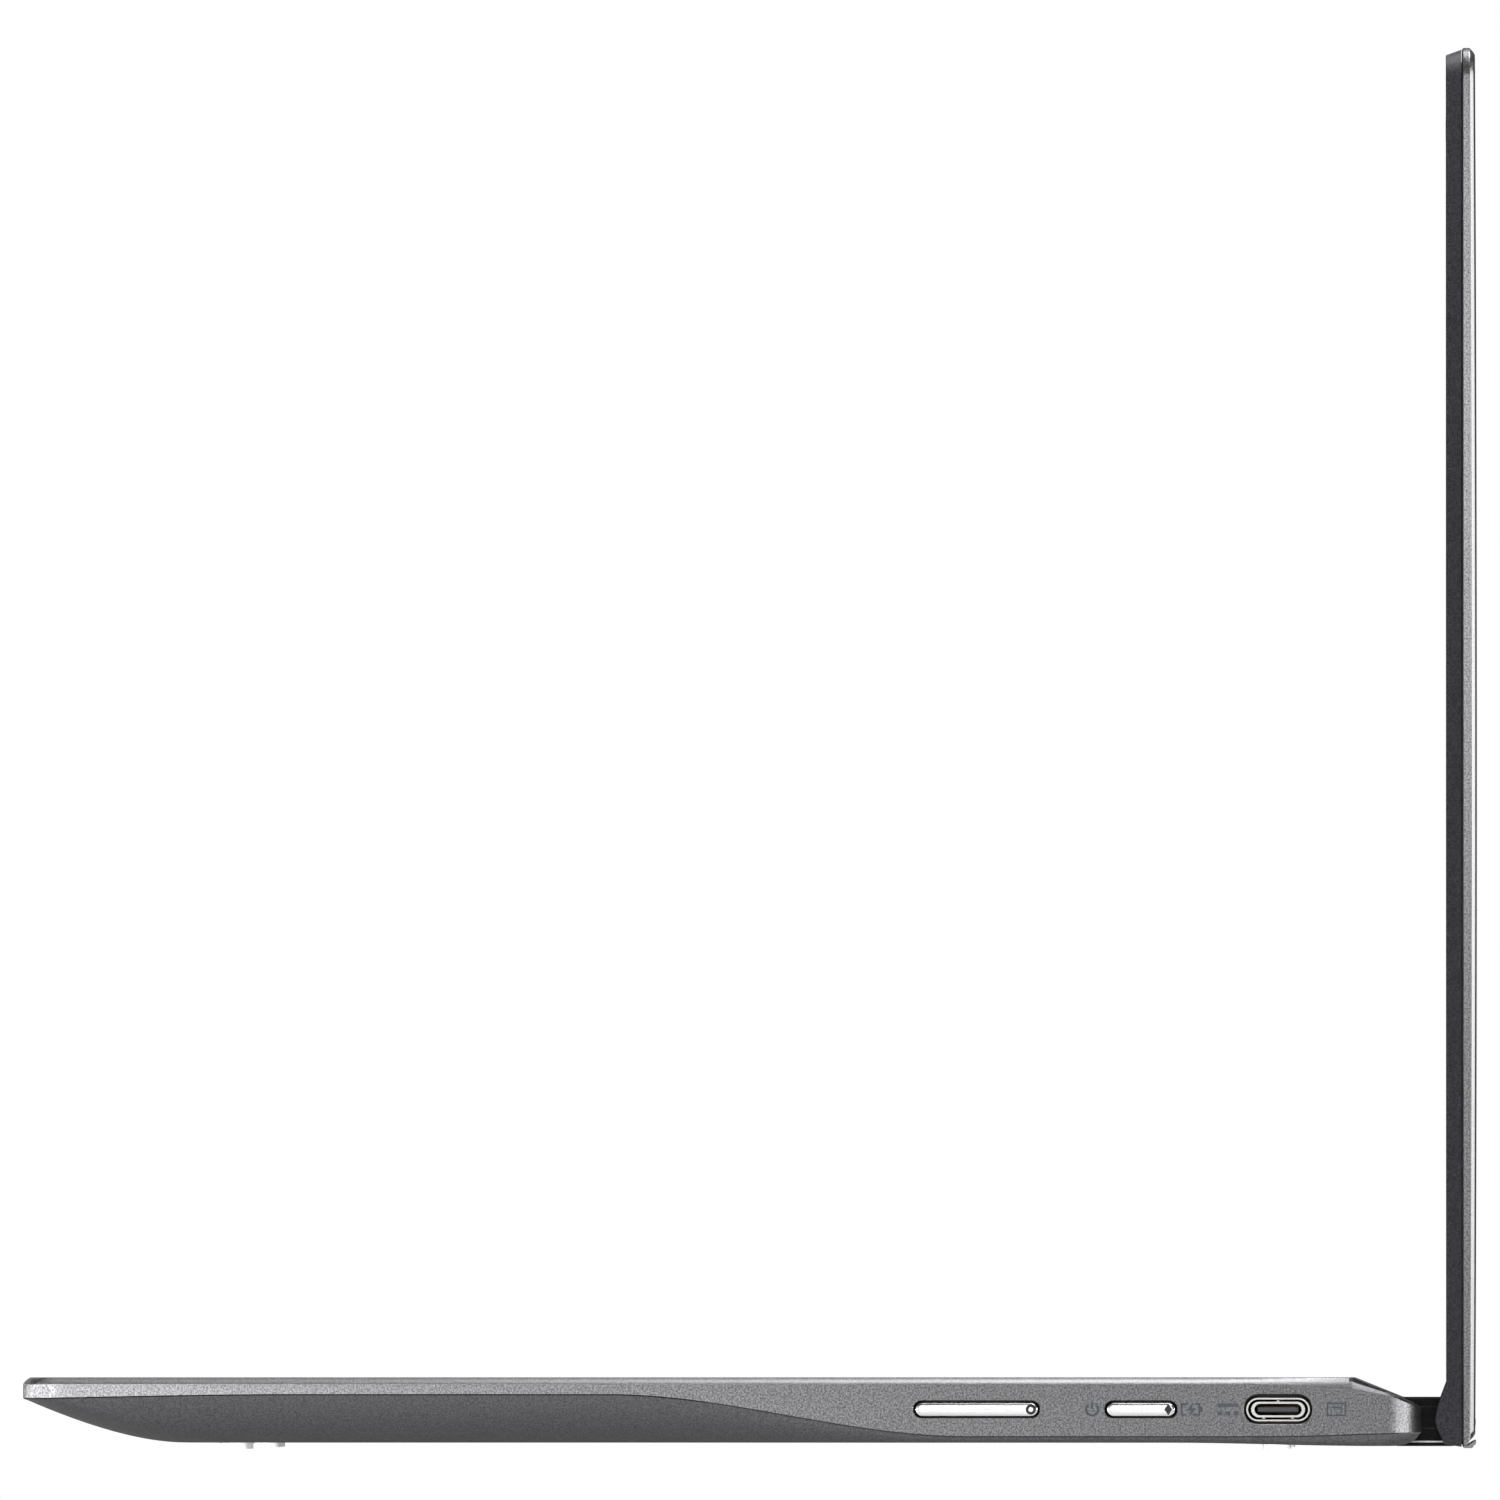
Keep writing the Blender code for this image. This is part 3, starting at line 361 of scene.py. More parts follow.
def metal(name, colour, roughness, metallic=0.9, grain=0.3, contrast=0.4, bump=0.012):
    """Blasted metal: a sharp two-tone grain, a slow tone variation, and rubbed patches in its sheen."""
    m = Nodes(name)
    fine = m.noise(grain, 1.0, roughness=0.6)
    slow = m.noise(70.0, 2.0)
    rubbed = m.noise(35.0, 3.0)
    two_tone = m.span(fine, 0.0, 1.0, 0.32, 0.68)
    tone = m.mix(two_tone, shade(colour, 1 - contrast), shade(colour, 1 + contrast))
    tone = m.mix(m.span(slow, 0.0, 0.05), tone, shade(colour, 0.5))
    sheen = m.span(rubbed, roughness - 0.01, roughness + 0.015)
    m.set(Base_Color=tone, Roughness=m.math("ADD", m.span(fine, -0.04, 0.04), sheen), Metallic=metallic)
    m.bump(fine, 0.3, bump)
    return m.material


def plastic(name, colour, roughness, grain=0.3, bump=0.01, strength=0.3, contrast=0.1):
    """Moulded plastic: a fine spark-eroded texture, and faint wear in its sheen."""
    m = Nodes(name)
    fine = m.noise(grain, 1.5, roughness=0.6)
    worn = m.noise(9.0, 4.0)
    two_tone = m.span(fine, 0.0, 1.0, 0.3, 0.7)
    tone = m.mix(two_tone, shade(colour, 1 - contrast), shade(colour, 1 + contrast))
    sheen = m.span(worn, roughness - 0.05, roughness + 0.05)
    m.set(Base_Color=tone, Roughness=m.math("ADD", m.span(fine, -0.03, 0.03), sheen), Metallic=0.0)
    m.bump(fine, strength, bump)
    return m.material


def polished(name, colour, roughness):
    """Polished metal with hairline marks."""
    m = Nodes(name)
    hair = m.noise(0.25, 2.0, stretch=(1.0, 0.06, 1.0))
    smear = m.noise(3.0, 3.0)
    sheen = m.span(smear, roughness, roughness + 0.05)
    m.set(Base_Color=m.mix(m.span(smear, 0.0, 1.0), shade(colour, 0.95), colour), Metallic=1.0)
    m.set(Roughness=m.math("ADD", m.span(hair, -0.03, 0.05), sheen))
    m.bump(hair, 0.05, 0.002)
    return m.material


GLASS = {"half": 147.3, "bottom": 13.0, "top": 232.8}  # half width, and limits above the lid's bottom
PICTURE = (285.3, 190.2)


def screen_glass():
    """Dark glass with a faint picture area, dust and finger smears in its reflection."""
    m = Nodes("screen_glass")
    smear = m.noise(22.0, 5.0, stretch=(1.0, 1.0, 0.6))
    dust = m.noise(0.6, 1.0)
    place = m.new("ShaderNodeSeparateXYZ", {"Vector": m.position})
    middle = (LID_BOTTOM + (GLASS["bottom"] + GLASS["top"]) / 2) * MM
    beside = m.math("ABSOLUTE", place.outputs["X"])
    above = m.math("ABSOLUTE", m.math("SUBTRACT", place.outputs["Z"], middle))
    inside = m.math("LESS_THAN", beside, PICTURE[0] / 2 * MM)
    inside = m.math("MULTIPLY", inside, m.math("LESS_THAN", above, PICTURE[1] / 2 * MM))
    border = m.mix(m.span(smear, 0.0, 1.0), (0.002, 0.002, 0.0024), (0.0035, 0.0035, 0.004))
    picture = m.mix(m.span(smear, 0.0, 1.0), (0.011, 0.011, 0.013), (0.015, 0.0155, 0.018))
    m.set(Base_Color=m.mix(inside, border, picture))
    rough = m.math("ADD", m.span(smear, 0.025, 0.075), m.span(dust, 0.0, 0.03, 0.62, 0.75))
    m.set(Roughness=rough, Specular_IOR_Level=0.5, IOR=1.5)
    return m.material


def circuit_board():
    """Green lacquer with lighter tracks."""
    m = Nodes("circuit_board")
    tracks = m.noise(2.2, 1.0)
    weave = m.noise(0.4, 2.0)
    lines = m.span(tracks, 0.0, 1.0, 0.49, 0.51)
    m.set(Base_Color=m.mix(lines, (0.012, 0.075, 0.04), (0.02, 0.12, 0.06)))
    m.set(Roughness=m.span(weave, 0.35, 0.55))
    m.bump(tracks, 0.2, 0.02)
    return m.material


LOOKS = {
    "case": metal("case_metal", (0.253, 0.253, 0.259), 0.42, contrast=0.5),
    # deck: a lighter copy of the case metal for the deck's top faces, painted light
    "deck": metal("deck_metal_painted_lighter", (0.6, 0.6, 0.61), 0.44, 0.55, contrast=0.3),
    # edge: a paler copy of the case metal on the top chamfer, a painted highlight
    "edge": metal("chamfer_metal_painted_highlight", (0.42, 0.42, 0.43), 0.42, contrast=0.22),
    # edge_painted_dark_reflection: a dark copy of the metal, a painted dark reflection on the rear slope's
    # chamfer and on the lid's rim
    "edge_painted_dark_reflection": metal("chamfer_painted_dark_reflection", (0.07, 0.07, 0.072), 0.45, contrast=0.2),
    "under": metal("under_cover_paint", (0.14, 0.14, 0.145), 0.5, 0.6, contrast=0.35),
    "lid": metal("lid_metal", (0.34, 0.34, 0.348), 0.42, contrast=0.55),
    # lid_edge_painted_highlight: a pale copy of the lid metal on its chamfer, a painted highlight
    "lid_edge_painted_highlight": metal("lid_chamfer_painted_highlight", (0.78, 0.78, 0.79), 0.3, contrast=0.1),
    "bezel": plastic("bezel_plastic", (0.037, 0.037, 0.046), 0.5, contrast=0.75),
    "pad": metal("touchpad_metal", (0.55, 0.55, 0.56), 0.38, 0.55, grain=0.4, contrast=0.12, bump=0.004),
    "key": plastic("key_plastic", (0.016, 0.016, 0.018), 0.52, grain=0.4, bump=0.012, contrast=0.3),
    "legend": plastic("legend_print", (0.72, 0.72, 0.74), 0.5),
    "icon": plastic("icon_print", (0.07, 0.08, 0.1), 0.55, grain=0.4, contrast=0.35),
    "polished": polished("polished_metal", (0.93, 0.93, 0.93), 0.16),
    "steel": metal("steel", (0.5, 0.5, 0.51), 0.3, 1.0, contrast=0.1, bump=0.005),
    "port": polished("port_shell_metal", (0.8, 0.79, 0.77), 0.22),
    "rubber": plastic("black_rubber", (0.018, 0.018, 0.019), 0.8, grain=0.5, bump=0.03, strength=0.5),
    "foot": plastic("pale_rubber", (0.75, 0.75, 0.75), 0.7, grain=0.5, bump=0.03, strength=0.5),
    "bumper": plastic("pale_silicone", (0.5, 0.5, 0.51), 0.45, grain=0.5),
    "hinge": metal("hinge_black", (0.014, 0.014, 0.015), 0.4, 0.5, contrast=0.5),
    "hinge_line": metal("hinge_edge", (0.06, 0.06, 0.063), 0.4, 0.5, contrast=0.5),
    # inside: near-black plastic for the socket collars, also painted as shade in openings, gaps and grooves
    "inside": plastic("black_plastic_and_painted_shade", (0.004, 0.004, 0.0045), 0.7),
    # window: dark glossy plastic for the webcam lens, also painted as shade in the volume button's groove
    # and as a dark reflection on the power button
    "window_and_painted_shade": plastic("indicator_window", (0.01, 0.01, 0.02), 0.2),
    "glass": screen_glass(),
    "copper": metal("copper", (0.72, 0.36, 0.22), 0.32, 1.0, grain=0.8, contrast=0.08),
    "board": circuit_board(),
    "film": plastic("battery_film", (0.02, 0.02, 0.023), 0.35, grain=1.2, bump=0.02),
    "dark": plastic("dark_plastic", (0.03, 0.03, 0.033), 0.55),
    "tongue": plastic("tongue_plastic", (0.06, 0.062, 0.07), 0.5),
}
# The record's material slot for each look that a whole piece can have.
SLOTS = {
    **dict.fromkeys(("case", "pad"), "aluminium"),
    **dict.fromkeys(("key", "legend"), "key_plastic"),
    **dict.fromkeys(("hinge", "hinge_line"), "hinge_black"),
    **dict.fromkeys(("rubber", "inside"), "black_rubber"),
    **dict.fromkeys(("dark", "tongue", "window_and_painted_shade", "icon"), "dark_plastic"),
    "under": "painted_cover",
    "lid": "lid_metal",
    "bezel": "bezel_plastic",
    "polished": "polished_metal",
    "port": "steel",
    "glass": "screen_glass",
    "copper": "copper",
}


# ---------------------------------------------------------------- base shells
CORNER_RADIUS = 6.0
TOP_CHAMFER = 1.15
SLOPE_START, SLOPE = FRONT + 223.2, 0.403
CHAMFER_WIDENS, WIDER = (FRONT + 206.0, FRONT + 223.0), 0.95
CHAMFER_NARROWS, NARROWER = (FRONT + 223.0, FRONT + 231.0), 0.7
# The seam between top case and bottom cover: its heights, and the stretches where it changes them.
SEAM_NOSE, SEAM_HIGH, SEAM_LOW, SEAM_END_RISE = 8.3, 9.05, 2.0, 0.6
SEAM_RISES = (FRONT - 12.0, FRONT + 44.0)
SEAM_FALLS = (FRONT + 98.7, FRONT + 158.6)
SEAM_ENDS = (REAR - 25.0, REAR)
# How far the underside draws in from each edge, and the fullness of its curve.
DRAW_IN = {"front": (26.5, 0.6), "side": (13.0, 0.45), "side_rear": (2.2, 0.3), "rear": (5.0, 0.2)}
COVER_GAP, SEAM_LAP, NOSE_ROUNDING = 0.3, 0.05, 8.0
SAGS, SAG = (REAR - 42.0, REAR - 8.0), 0.55  # where the underside drops towards the rear, and how far
SQUEEZE = 50.0  # the stations this near to either end move with the end
OPENING_DEPTH, WELL_DEPTH = 4.0, 1.0
STATIONS = sorted(
    spread(FRONT + 8, 6.5, 13)
    + spread(SEAM_FALLS[0] - 2, 2.0, 33)
    + spread(FRONT + 166, 4.5, 13)
    + spread(SLOPE_START - 0.4, 0.4, 3)
)
STATIONS = [y for y in STATIONS if FRONT + 7 < y < REAR - 7]
# The top case's chamfer, upwards: inset, share of the edge drop, and drop on top of that.
CHAMFER = (
    (0.0, 1.0, 0.05),
    (0.06, 0.93, 0.0),
    (TOP_CHAMFER * 0.27, 0.6, 0.0),
    (TOP_CHAMFER * 0.55, 0.34, 0.0),
    (TOP_CHAMFER - 0.1, 0.0, 0.1),
    (TOP_CHAMFER + 0.12, 0.0, 0.02),
    (TOP_CHAMFER + 0.4, 0.0, 0.0),
)


def seam_height(y):
    lifted = SEAM_NOSE + (SEAM_HIGH - SEAM_NOSE) * smoothstep(y, *SEAM_RISES)
    swept = lifted + (SEAM_LOW - SEAM_HIGH) * smoothstep(y, *SEAM_FALLS)
    return swept + SEAM_END_RISE * smoothstep(y, *SEAM_ENDS)


def edge_drop(y):
    """How far below the deck the pale chamfer ends: it widens up to the sloping rear, then narrows."""
    narrowing = smoothstep(y, *CHAMFER_NARROWS)
    widening = WIDER * smoothstep(y, *CHAMFER_WIDENS) * (1 - narrowing)
    return TOP_CHAMFER + widening - NARROWER * narrowing


def shell_outline(inset):
    radius = CORNER_RADIUS - inset
    front, rear, half = FRONT + inset, REAR - inset, HALF - PRINT - inset
    return half_outline(front, rear, lambda y: half, radius, radius, STATIONS)


def deck_level(inset, share=0.0, drop=0.0):
    """A level that follows the deck, which slopes down at the rear."""
    level = []
    for x, y in shell_outline(inset):
        deck = DECK - max(0.0, y - SLOPE_START) * SLOPE
        level.append((x, y, deck - (edge_drop(y) * share + drop)))
    return level


def seam_level(offset, inset):
    return [(x, y, seam_height(y) + offset) for x, y in shell_outline(inset)]


def squeezed(low, high):
    """STATIONS, moved near both ends so that the first and last stay between low and high."""
    knees = (FRONT + SQUEEZE, REAR - SQUEEZE)
    stretch = SQUEEZE - CORNER_RADIUS
    moved = []
    for y in STATIONS:
        if y < knees[0]:
            y = low + (y - FRONT - CORNER_RADIUS) * (knees[0] - low) / stretch
        elif y > knees[1]:
            y = high - (REAR - CORNER_RADIUS - y) * (high - knees[1]) / stretch
        moved.append(y)
    return moved


def cover_level(share, inset=0.0, floor=FLOOR, lift=0.0):
    """A level of the rounded underside, with share 0 at the seam and 1 at the floor."""

    def drawn(edge):
        run, fullness = DRAW_IN[edge]
        return 2 * (1 - share) * share * run * fullness + share * share * run

    def half_width(y):
        rear = smoothstep(y, *SEAM_FALLS)
        return HALF - COVER_GAP - inset - drawn("side") * (1 - rear) - drawn("side_rear") * rear

    front = FRONT + COVER_GAP + inset + drawn("front")
    rear = REAR - COVER_GAP - inset - drawn("rear")
    front_radius = CORNER_RADIUS + NOSE_ROUNDING * share - inset
    rear_radius = CORNER_RADIUS - inset - share
    stations = squeezed(front + front_radius, rear - rear_radius)
    depth = 1 - (1 - share) ** 2
    level = []
    for x, y in half_outline(front, rear, half_width, front_radius, rear_radius, stations):
        seam = seam_height(y) + SEAM_LAP + lift
        base = floor - SAG * smoothstep(y, *SAGS)
        level.append((x, y, seam - (seam - base) * depth))
    return level


def notch_boxes(low_y, high_y, low_z, high_z):
    """The limits of two boxes, one round each hinge link."""
    reach = LINK_WIDTH / 2 + NOTCH_MARGIN
    return [
        ((side * LINK_CENTRE - reach, low_y, low_z), (side * LINK_CENTRE + reach, high_y, high_z))
        for side in (-1, 1)
    ]


def cut_rear(shell):
    """Cuts the recess between the links, and the notches for the links."""
    recess = [((-88.0, REAR - 1.5, -5.0), (88.0, REAR + 5.0, DECK + 5.0))]
    low_y = AXIS_A[0] - LINK_RADIUS - NOTCH_MARGIN
    notches = notch_boxes(low_y, REAR + 5, -5, DECK + 5)
    combine(shell, boxes("recess", recess), boxes("notches", notches))


# Openings in the side walls: side, y, z, length, height.
SIDE_SLOTS = {
    "volume": (1, FRONT + 160.3, 6.68, 21.35, 2.98),
    "power": (1, FRONT + 187.9, 6.68, 12.3, 2.98),
    "usb_c_right": (1, FRONT + 210.9, 6.68, 11.5, 4.9),
    "usb_c_left": (-1, FRONT + 213.0, 6.68, 11.5, 4.9),
    "hdmi": (-1, FRONT + 195.0, 6.6, 15.2, 5.8),
    "usb_a": (-1, FRONT + 175.5, 6.6, 13.4, 6.2),
    "headphone": (-1, FRONT + 161.5, 6.6, 6.2, 6.2),
}


def slot_cutter(name):
    """A straight opening through the wall, with a countersunk mouth."""
    side, y, z, length, height = SIDE_SLOTS[name]
    rim = 0.2 if "usb_c" in name else 0.1

    def shape(grow):
        size = (length + 2 * grow, height + 2 * grow)
        return rounded(*size, 0.7 + grow) if name in ("hdmi", "usb_a") else capsule(*size)

    levels = [(0.0, HALF - 3.5), (0.0, HALF - rim), (rim + 0.6, HALF + 0.6)]
    return stack(name + "_opening", [(shape(grow), side * x) for grow, x in levels], "X", (y, z))


def keycap_spans(node):
    """((low x, y), (high x, y)) of each keycap's top in a CAD key node, and the height of these tops."""
    mesh = frame["nodes"][node].data
    top = max(v.co.z for v in mesh.vertices)
    flat = [v.co for v in mesh.vertices if v.co.z > top - 1e-5]
    xs, ys = [sorted({round(place[axis] / MM, 2) for place in flat}) for axis in (0, 1)]
    return [((a, ys[0]), (b, ys[-1])) for a, b in zip(xs[::2], xs[1::2])], top / MM


KEY_NODES = [name for name in frame["nodes"] if name.endswith(("_keys", "_key", "space_bar"))]
KEYS = {node: keycap_spans(node) for node in KEY_NODES}
KEY_FLARE = 0.35  # how far a keycap's foot stands out from its top on each side
HOLE_MARGIN = 0.25
WELL_MARGIN = 1.0


def deck_opening(name, low, high, grow, radius, depth, steps=6):
    """A rounded cutter that goes down into the deck between two corners."""
    outline = rounded(high[0] - low[0] + 2 * grow, high[1] - low[1] + 2 * grow, radius, steps)
    centre = ((low[0] + high[0]) / 2, (low[1] + high[1]) / 2)
    return prism(name, outline, DECK - depth, DECK + 1.0, "Z", centre)


def key_well():
    """The shallow recess that holds all the keys."""
    corners = [corner for spans, _ in KEYS.values() for span in spans for corner in span]
    low, high = [[pick(values) for values in zip(*corners)] for pick in (min, max)]
    return deck_opening("key_well", low, high, KEY_FLARE + WELL_MARGIN, 1.6, WELL_DEPTH)


def key_holes():
    """One hole for each keycap. The up and down arrows share a hole."""
    cutters = []
    for node, (spans, _) in KEYS.items():
        for low, high in spans:
            if node == "arrow_down_key":
                high = KEYS["arrow_up_key"][0][0][1]
            if node != "arrow_up_key":
                grow = KEY_FLARE + HOLE_MARGIN
                cutters.append(deck_opening("hole", low, high, grow, 1.2, OPENING_DEPTH, 4))
    return join(cutters, "holes")


def make_top_case():
    levels = [seam_level(0.0, 0.25), seam_level(0.22, 0.0), *[deck_level(*step) for step in CHAMFER]]
    hollow = [seam_level(-3.0, WALL), seam_level(0.3, WALL), deck_level(WALL, drop=1.8)]
    outlets = [((x - 2.2, REAR - 6.0, 4.4), (x + 2.2, REAR + 3.0, 7.2)) for x in range(-80, 81, 8)]
    top = ladder("top_case_shell", levels)
    combine(top, ladder("hollow", hollow))
    cut_rear(top)
    combine(top, boxes("outlets", outlets), key_well())
    combine(top, key_holes())
    for name in SIDE_SLOTS:
        combine(top, slot_cutter(name))
    combine(top, deck_opening("pad_hole", *node_box("touchpad"), 0.3, 1.4, OPENING_DEPTH))
    finish(top, "case", "top_case", sharp=28)

    def on_chamfer(x, y, z, normal):
        rim = abs(x) > HALF - 1.35 or y < FRONT + 1.35 or y > REAR - 1.3
        return rim and 0.25 < normal.z < 0.9 and z > 7.5

    # The chamfer along the sloping rear gets a dark copy of the metal: a painted dark reflection.
    def behind_slope(x, y, z, normal):
        return y > SLOPE_START - 0.3 and abs(x) < HALF - 0.62 and on_chamfer(x, y, z, normal)

    # The wall's down-facing faces near the seam, and the tops of the port mouths, get the dark plastic look:
    # painted shade.
    def seam_painted_shade(x, y, z, normal):
        return (abs(x) > HALF - 0.6 or y < FRONT + 0.6) and normal.z < -0.3 and z < 9.6

    # The ceiling under the deck and the aluminium walls of the side openings get the black inside look:
    # painted shade.
    def gets_painted_shade(x, y, z, normal):
        ceiling = normal.z < -0.5 and z > 8.0
        beside_ports = FRONT + 155 < y < REAR - 14 and 3.2 < z < DECK - 1.3
        return ceiling or (beside_ports and abs(x) > HALF - 4 and abs(normal.x) < 0.5)

    # The deck's top faces get a lighter copy of the case metal: painted light.
    paint(top, "deck", lambda x, y, z, normal: normal.z > 0.9 and z > 7.5)
    # The top chamfer gets a paler copy of the case metal: a painted highlight.
    paint(top, "edge", on_chamfer)
    paint(top, "edge_painted_dark_reflection", behind_slope)
    paint(top, "dark", seam_painted_shade)
    paint(top, "inside", gets_painted_shade)


VENT_LENGTH, VENT_WIDTH, VENT_Y = 20.0, 2.0, 68.0
VENT_PLACES = (*range(-66, -20, 6), *range(24, 70, 6))
SCREW_HEAD, SCREW_HOLE = 2.9, 1.5  # radii


def make_bottom_cover():
    bottom = ladder("bottom_cover_shell", [cover_level(i / 16) for i in range(17)])
    hollow = [seam_level(2.0, WALL)]
    for i in range(6):
        hollow.append(cover_level(i / 5, WALL, FLOOR + 1.0, lift=0.2 * (1 - i / 5)))
    combine(bottom, ladder("hollow", hollow))
    cut_rear(bottom)
    vent = [(v, u) for u, v in capsule(VENT_LENGTH, VENT_WIDTH, 6)][::-1]
    vents = [prism("vent", vent, -1.0, FLOOR + 3.0, "Z", (x, VENT_Y)) for x in VENT_PLACES]
    combine(bottom, join(vents, "vents"))
    spots = [node_middle(f"case_screw_{number}")[:2] for number in range(1, 7)]
    heads = [("Z", (*spot, FLOOR - 0.4), SCREW_HEAD, SCREW_HEAD, 2.0) for spot in spots]
    holes = [("Z", (*spot, FLOOR + 1.0), SCREW_HOLE, SCREW_HOLE, 6.0) for spot in spots]
    combine(bottom, cylinders("heads", heads, 32))
    combine(bottom, cylinders("holes", holes, 24))
    finish(bottom, "under", "bottom_cover", sharp=25)


# ---------------------------------------------------------------- keyboard and touchpad
# A keycap's levels: growth of its width and depth from its top face, corner radius, and drop from the top.
KEYCAP = (
    (0.62, 0.62, 1.0, 0.55),
    (0.3, 0.3, 1.0, 0.14),
    (-0.1, -0.1, 0.95, 0.01),
    (-0.7, -0.7, 0.8, 0.0),
    (-3.0, -2.4, 0.6, 0.08),
    (-6.0, -4.5, 0.4, 0.12),
)
LEGENDS = {
    "function_keys": ["esc", *[f"F{i}" for i in range(1, 13)], "del"],
    "number_keys": ["`", *"1234567890", "-", "="],
    "backspace_key": ["backspace"],
    "upper_letter_keys": ["tab", *"QWERTYUIOP", "[", "]", "\\"],
    "home_letter_keys": ["caps", *"ASDFGHJKL", ";", "'"],
    "enter_key": ["enter"],
    "lower_letter_keys": ["shift", *"ZXCVBNM", ",", ".", "/", "shift"],
    "left_modifier_keys": ["ctrl", "alt"],
    "right_modifier_keys": ["alt", "ctrl"],
    "arrow_left_key": ["<"],
    "arrow_right_key": [">"],
    "arrow_up_key": ["^"],
    "arrow_down_key": ["v"],
    "space_bar": [""],
}
ARROW_TURNS = {">": 0, "^": 90, "<": 180, "v": 270}
INK = 0.012
LETTER_SIZE, WORD_SIZE, WORD_INDENT, WORD_HALF_LETTER = 3.6, 2.3, 2.2, 0.62


def keycap(low, high, top):
    """A keycap with a dished top and rounded shoulders, between the corners of its top face."""
    width, depth = high[0] - low[0], high[1] - low[1]
    levels = [(rounded(width + 2 * KEY_FLARE, depth + 2 * KEY_FLARE, 1.0, 4), DECK - 2.6)]
    for wider, deeper, radius, drop in KEYCAP:
        levels.append((rounded(width + wider, depth + deeper, radius, 4), top - drop))
    return stack("cap", levels, "Z", ((low[0] + high[0]) / 2, (low[1] + high[1]) / 2))


def text_mesh(text, size, centre, height):
    """Flat lettering as a thin solid, centred on a point and lying at a height."""
    curve = bpy.data.curves.new("text", "FONT")
    curve.body = text
    curve.size = size * MM
    curve.extrude = INK * MM
    curve.align_x = curve.align_y = "CENTER"
    curve.resolution_u = 3
    obj = new_object("text", curve)
    obj.location = (centre[0] * MM, centre[1] * MM, height * MM)
    bpy.context.view_layer.update()
    graph = bpy.context.evaluated_depsgraph_get()
    mesh = bpy.data.meshes.new_from_object(obj.evaluated_get(graph))
    mesh.transform(obj.matrix_world)
    bpy.data.objects.remove(obj)
    bpy.data.curves.remove(curve)
    return new_object("text_mesh", mesh)


def legend(label, low, high, height, words_aside):
    """A key's label: an arrow, or text in the middle, or a word near the outer end of a long key."""
    centre = ((low[0] + high[0]) / 2, (low[1] + high[1]) / 2)
    if label in ARROW_TURNS:
        turn = ARROW_TURNS[label]
        triangle = arc(0.0, 0.0, 0.95, turn, turn + 240, 2)
        return prism("arrow", triangle, height - INK, height + INK, "Z", centre)
    if words_aside and len(label) > 2:
        side, edge = (-1, low[0]) if centre[0] < 0 else (1, high[0])
        centre = (edge - side * (WORD_INDENT + WORD_HALF_LETTER * len(label)), centre[1])
    return text_mesh(label, LETTER_SIZE if len(label) == 1 else WORD_SIZE, centre, height)


def make_keys():
    for node, (spans, top) in KEYS.items():
        caps, legends = [], []
        for (low, high), label in zip(spans, LEGENDS[node]):
            caps.append(keycap(low, high, top))
            if label:
                legends.append(legend(label, low, high, top - 0.1, node != "function_keys"))
        if len(spans) > 1:
            low, high = node_box(node)
            middle = node_middle(node)[1]
            web = ((low.x + 2.0, middle - 3.0, low.z), (high.x - 2.0, middle + 3.0, low.z + 0.4))
            caps.append(boxes("web", [web]))
        finish(join(caps, node + "_caps"), "key", node, node, sharp=32)
        if legends:
            finish(join(legends, node + "_legends"), "legend", body=node)


def make_touchpad():
    low, high = node_box("touchpad")
    steps = (
        (0.0, 1.2, low.z),
        (0.0, 1.2, high.z - 0.25),
        (0.15, 1.12, high.z - 0.08),
        (0.5, 0.95, high.z),
    )
    levels = rounded_levels(high.x - low.x, high.y - low.y, steps)
    pad = stack("touchpad_plate", levels, "Z", node_middle("touchpad")[:2])
    finish(pad, "pad", "touchpad", "touchpad", sharp=60)


# ---------------------------------------------------------------- side buttons, ports and icons
BUTTONS = {"volume": ("volume_rocker", 20.5), "power": ("power_button", 11.45)}
BUTTON_HEIGHT, MARK_FROM_END = 2.2, 1.15
# A button's levels: how much its outline shrinks, and how far it stands back from its face.
PILL = ((0.0, 0.16), (0.1, 0.07), (0.32, 0.02), (0.8, 0.005), (1.6, 0.0))
DIMPLE_RADIUS = 0.9


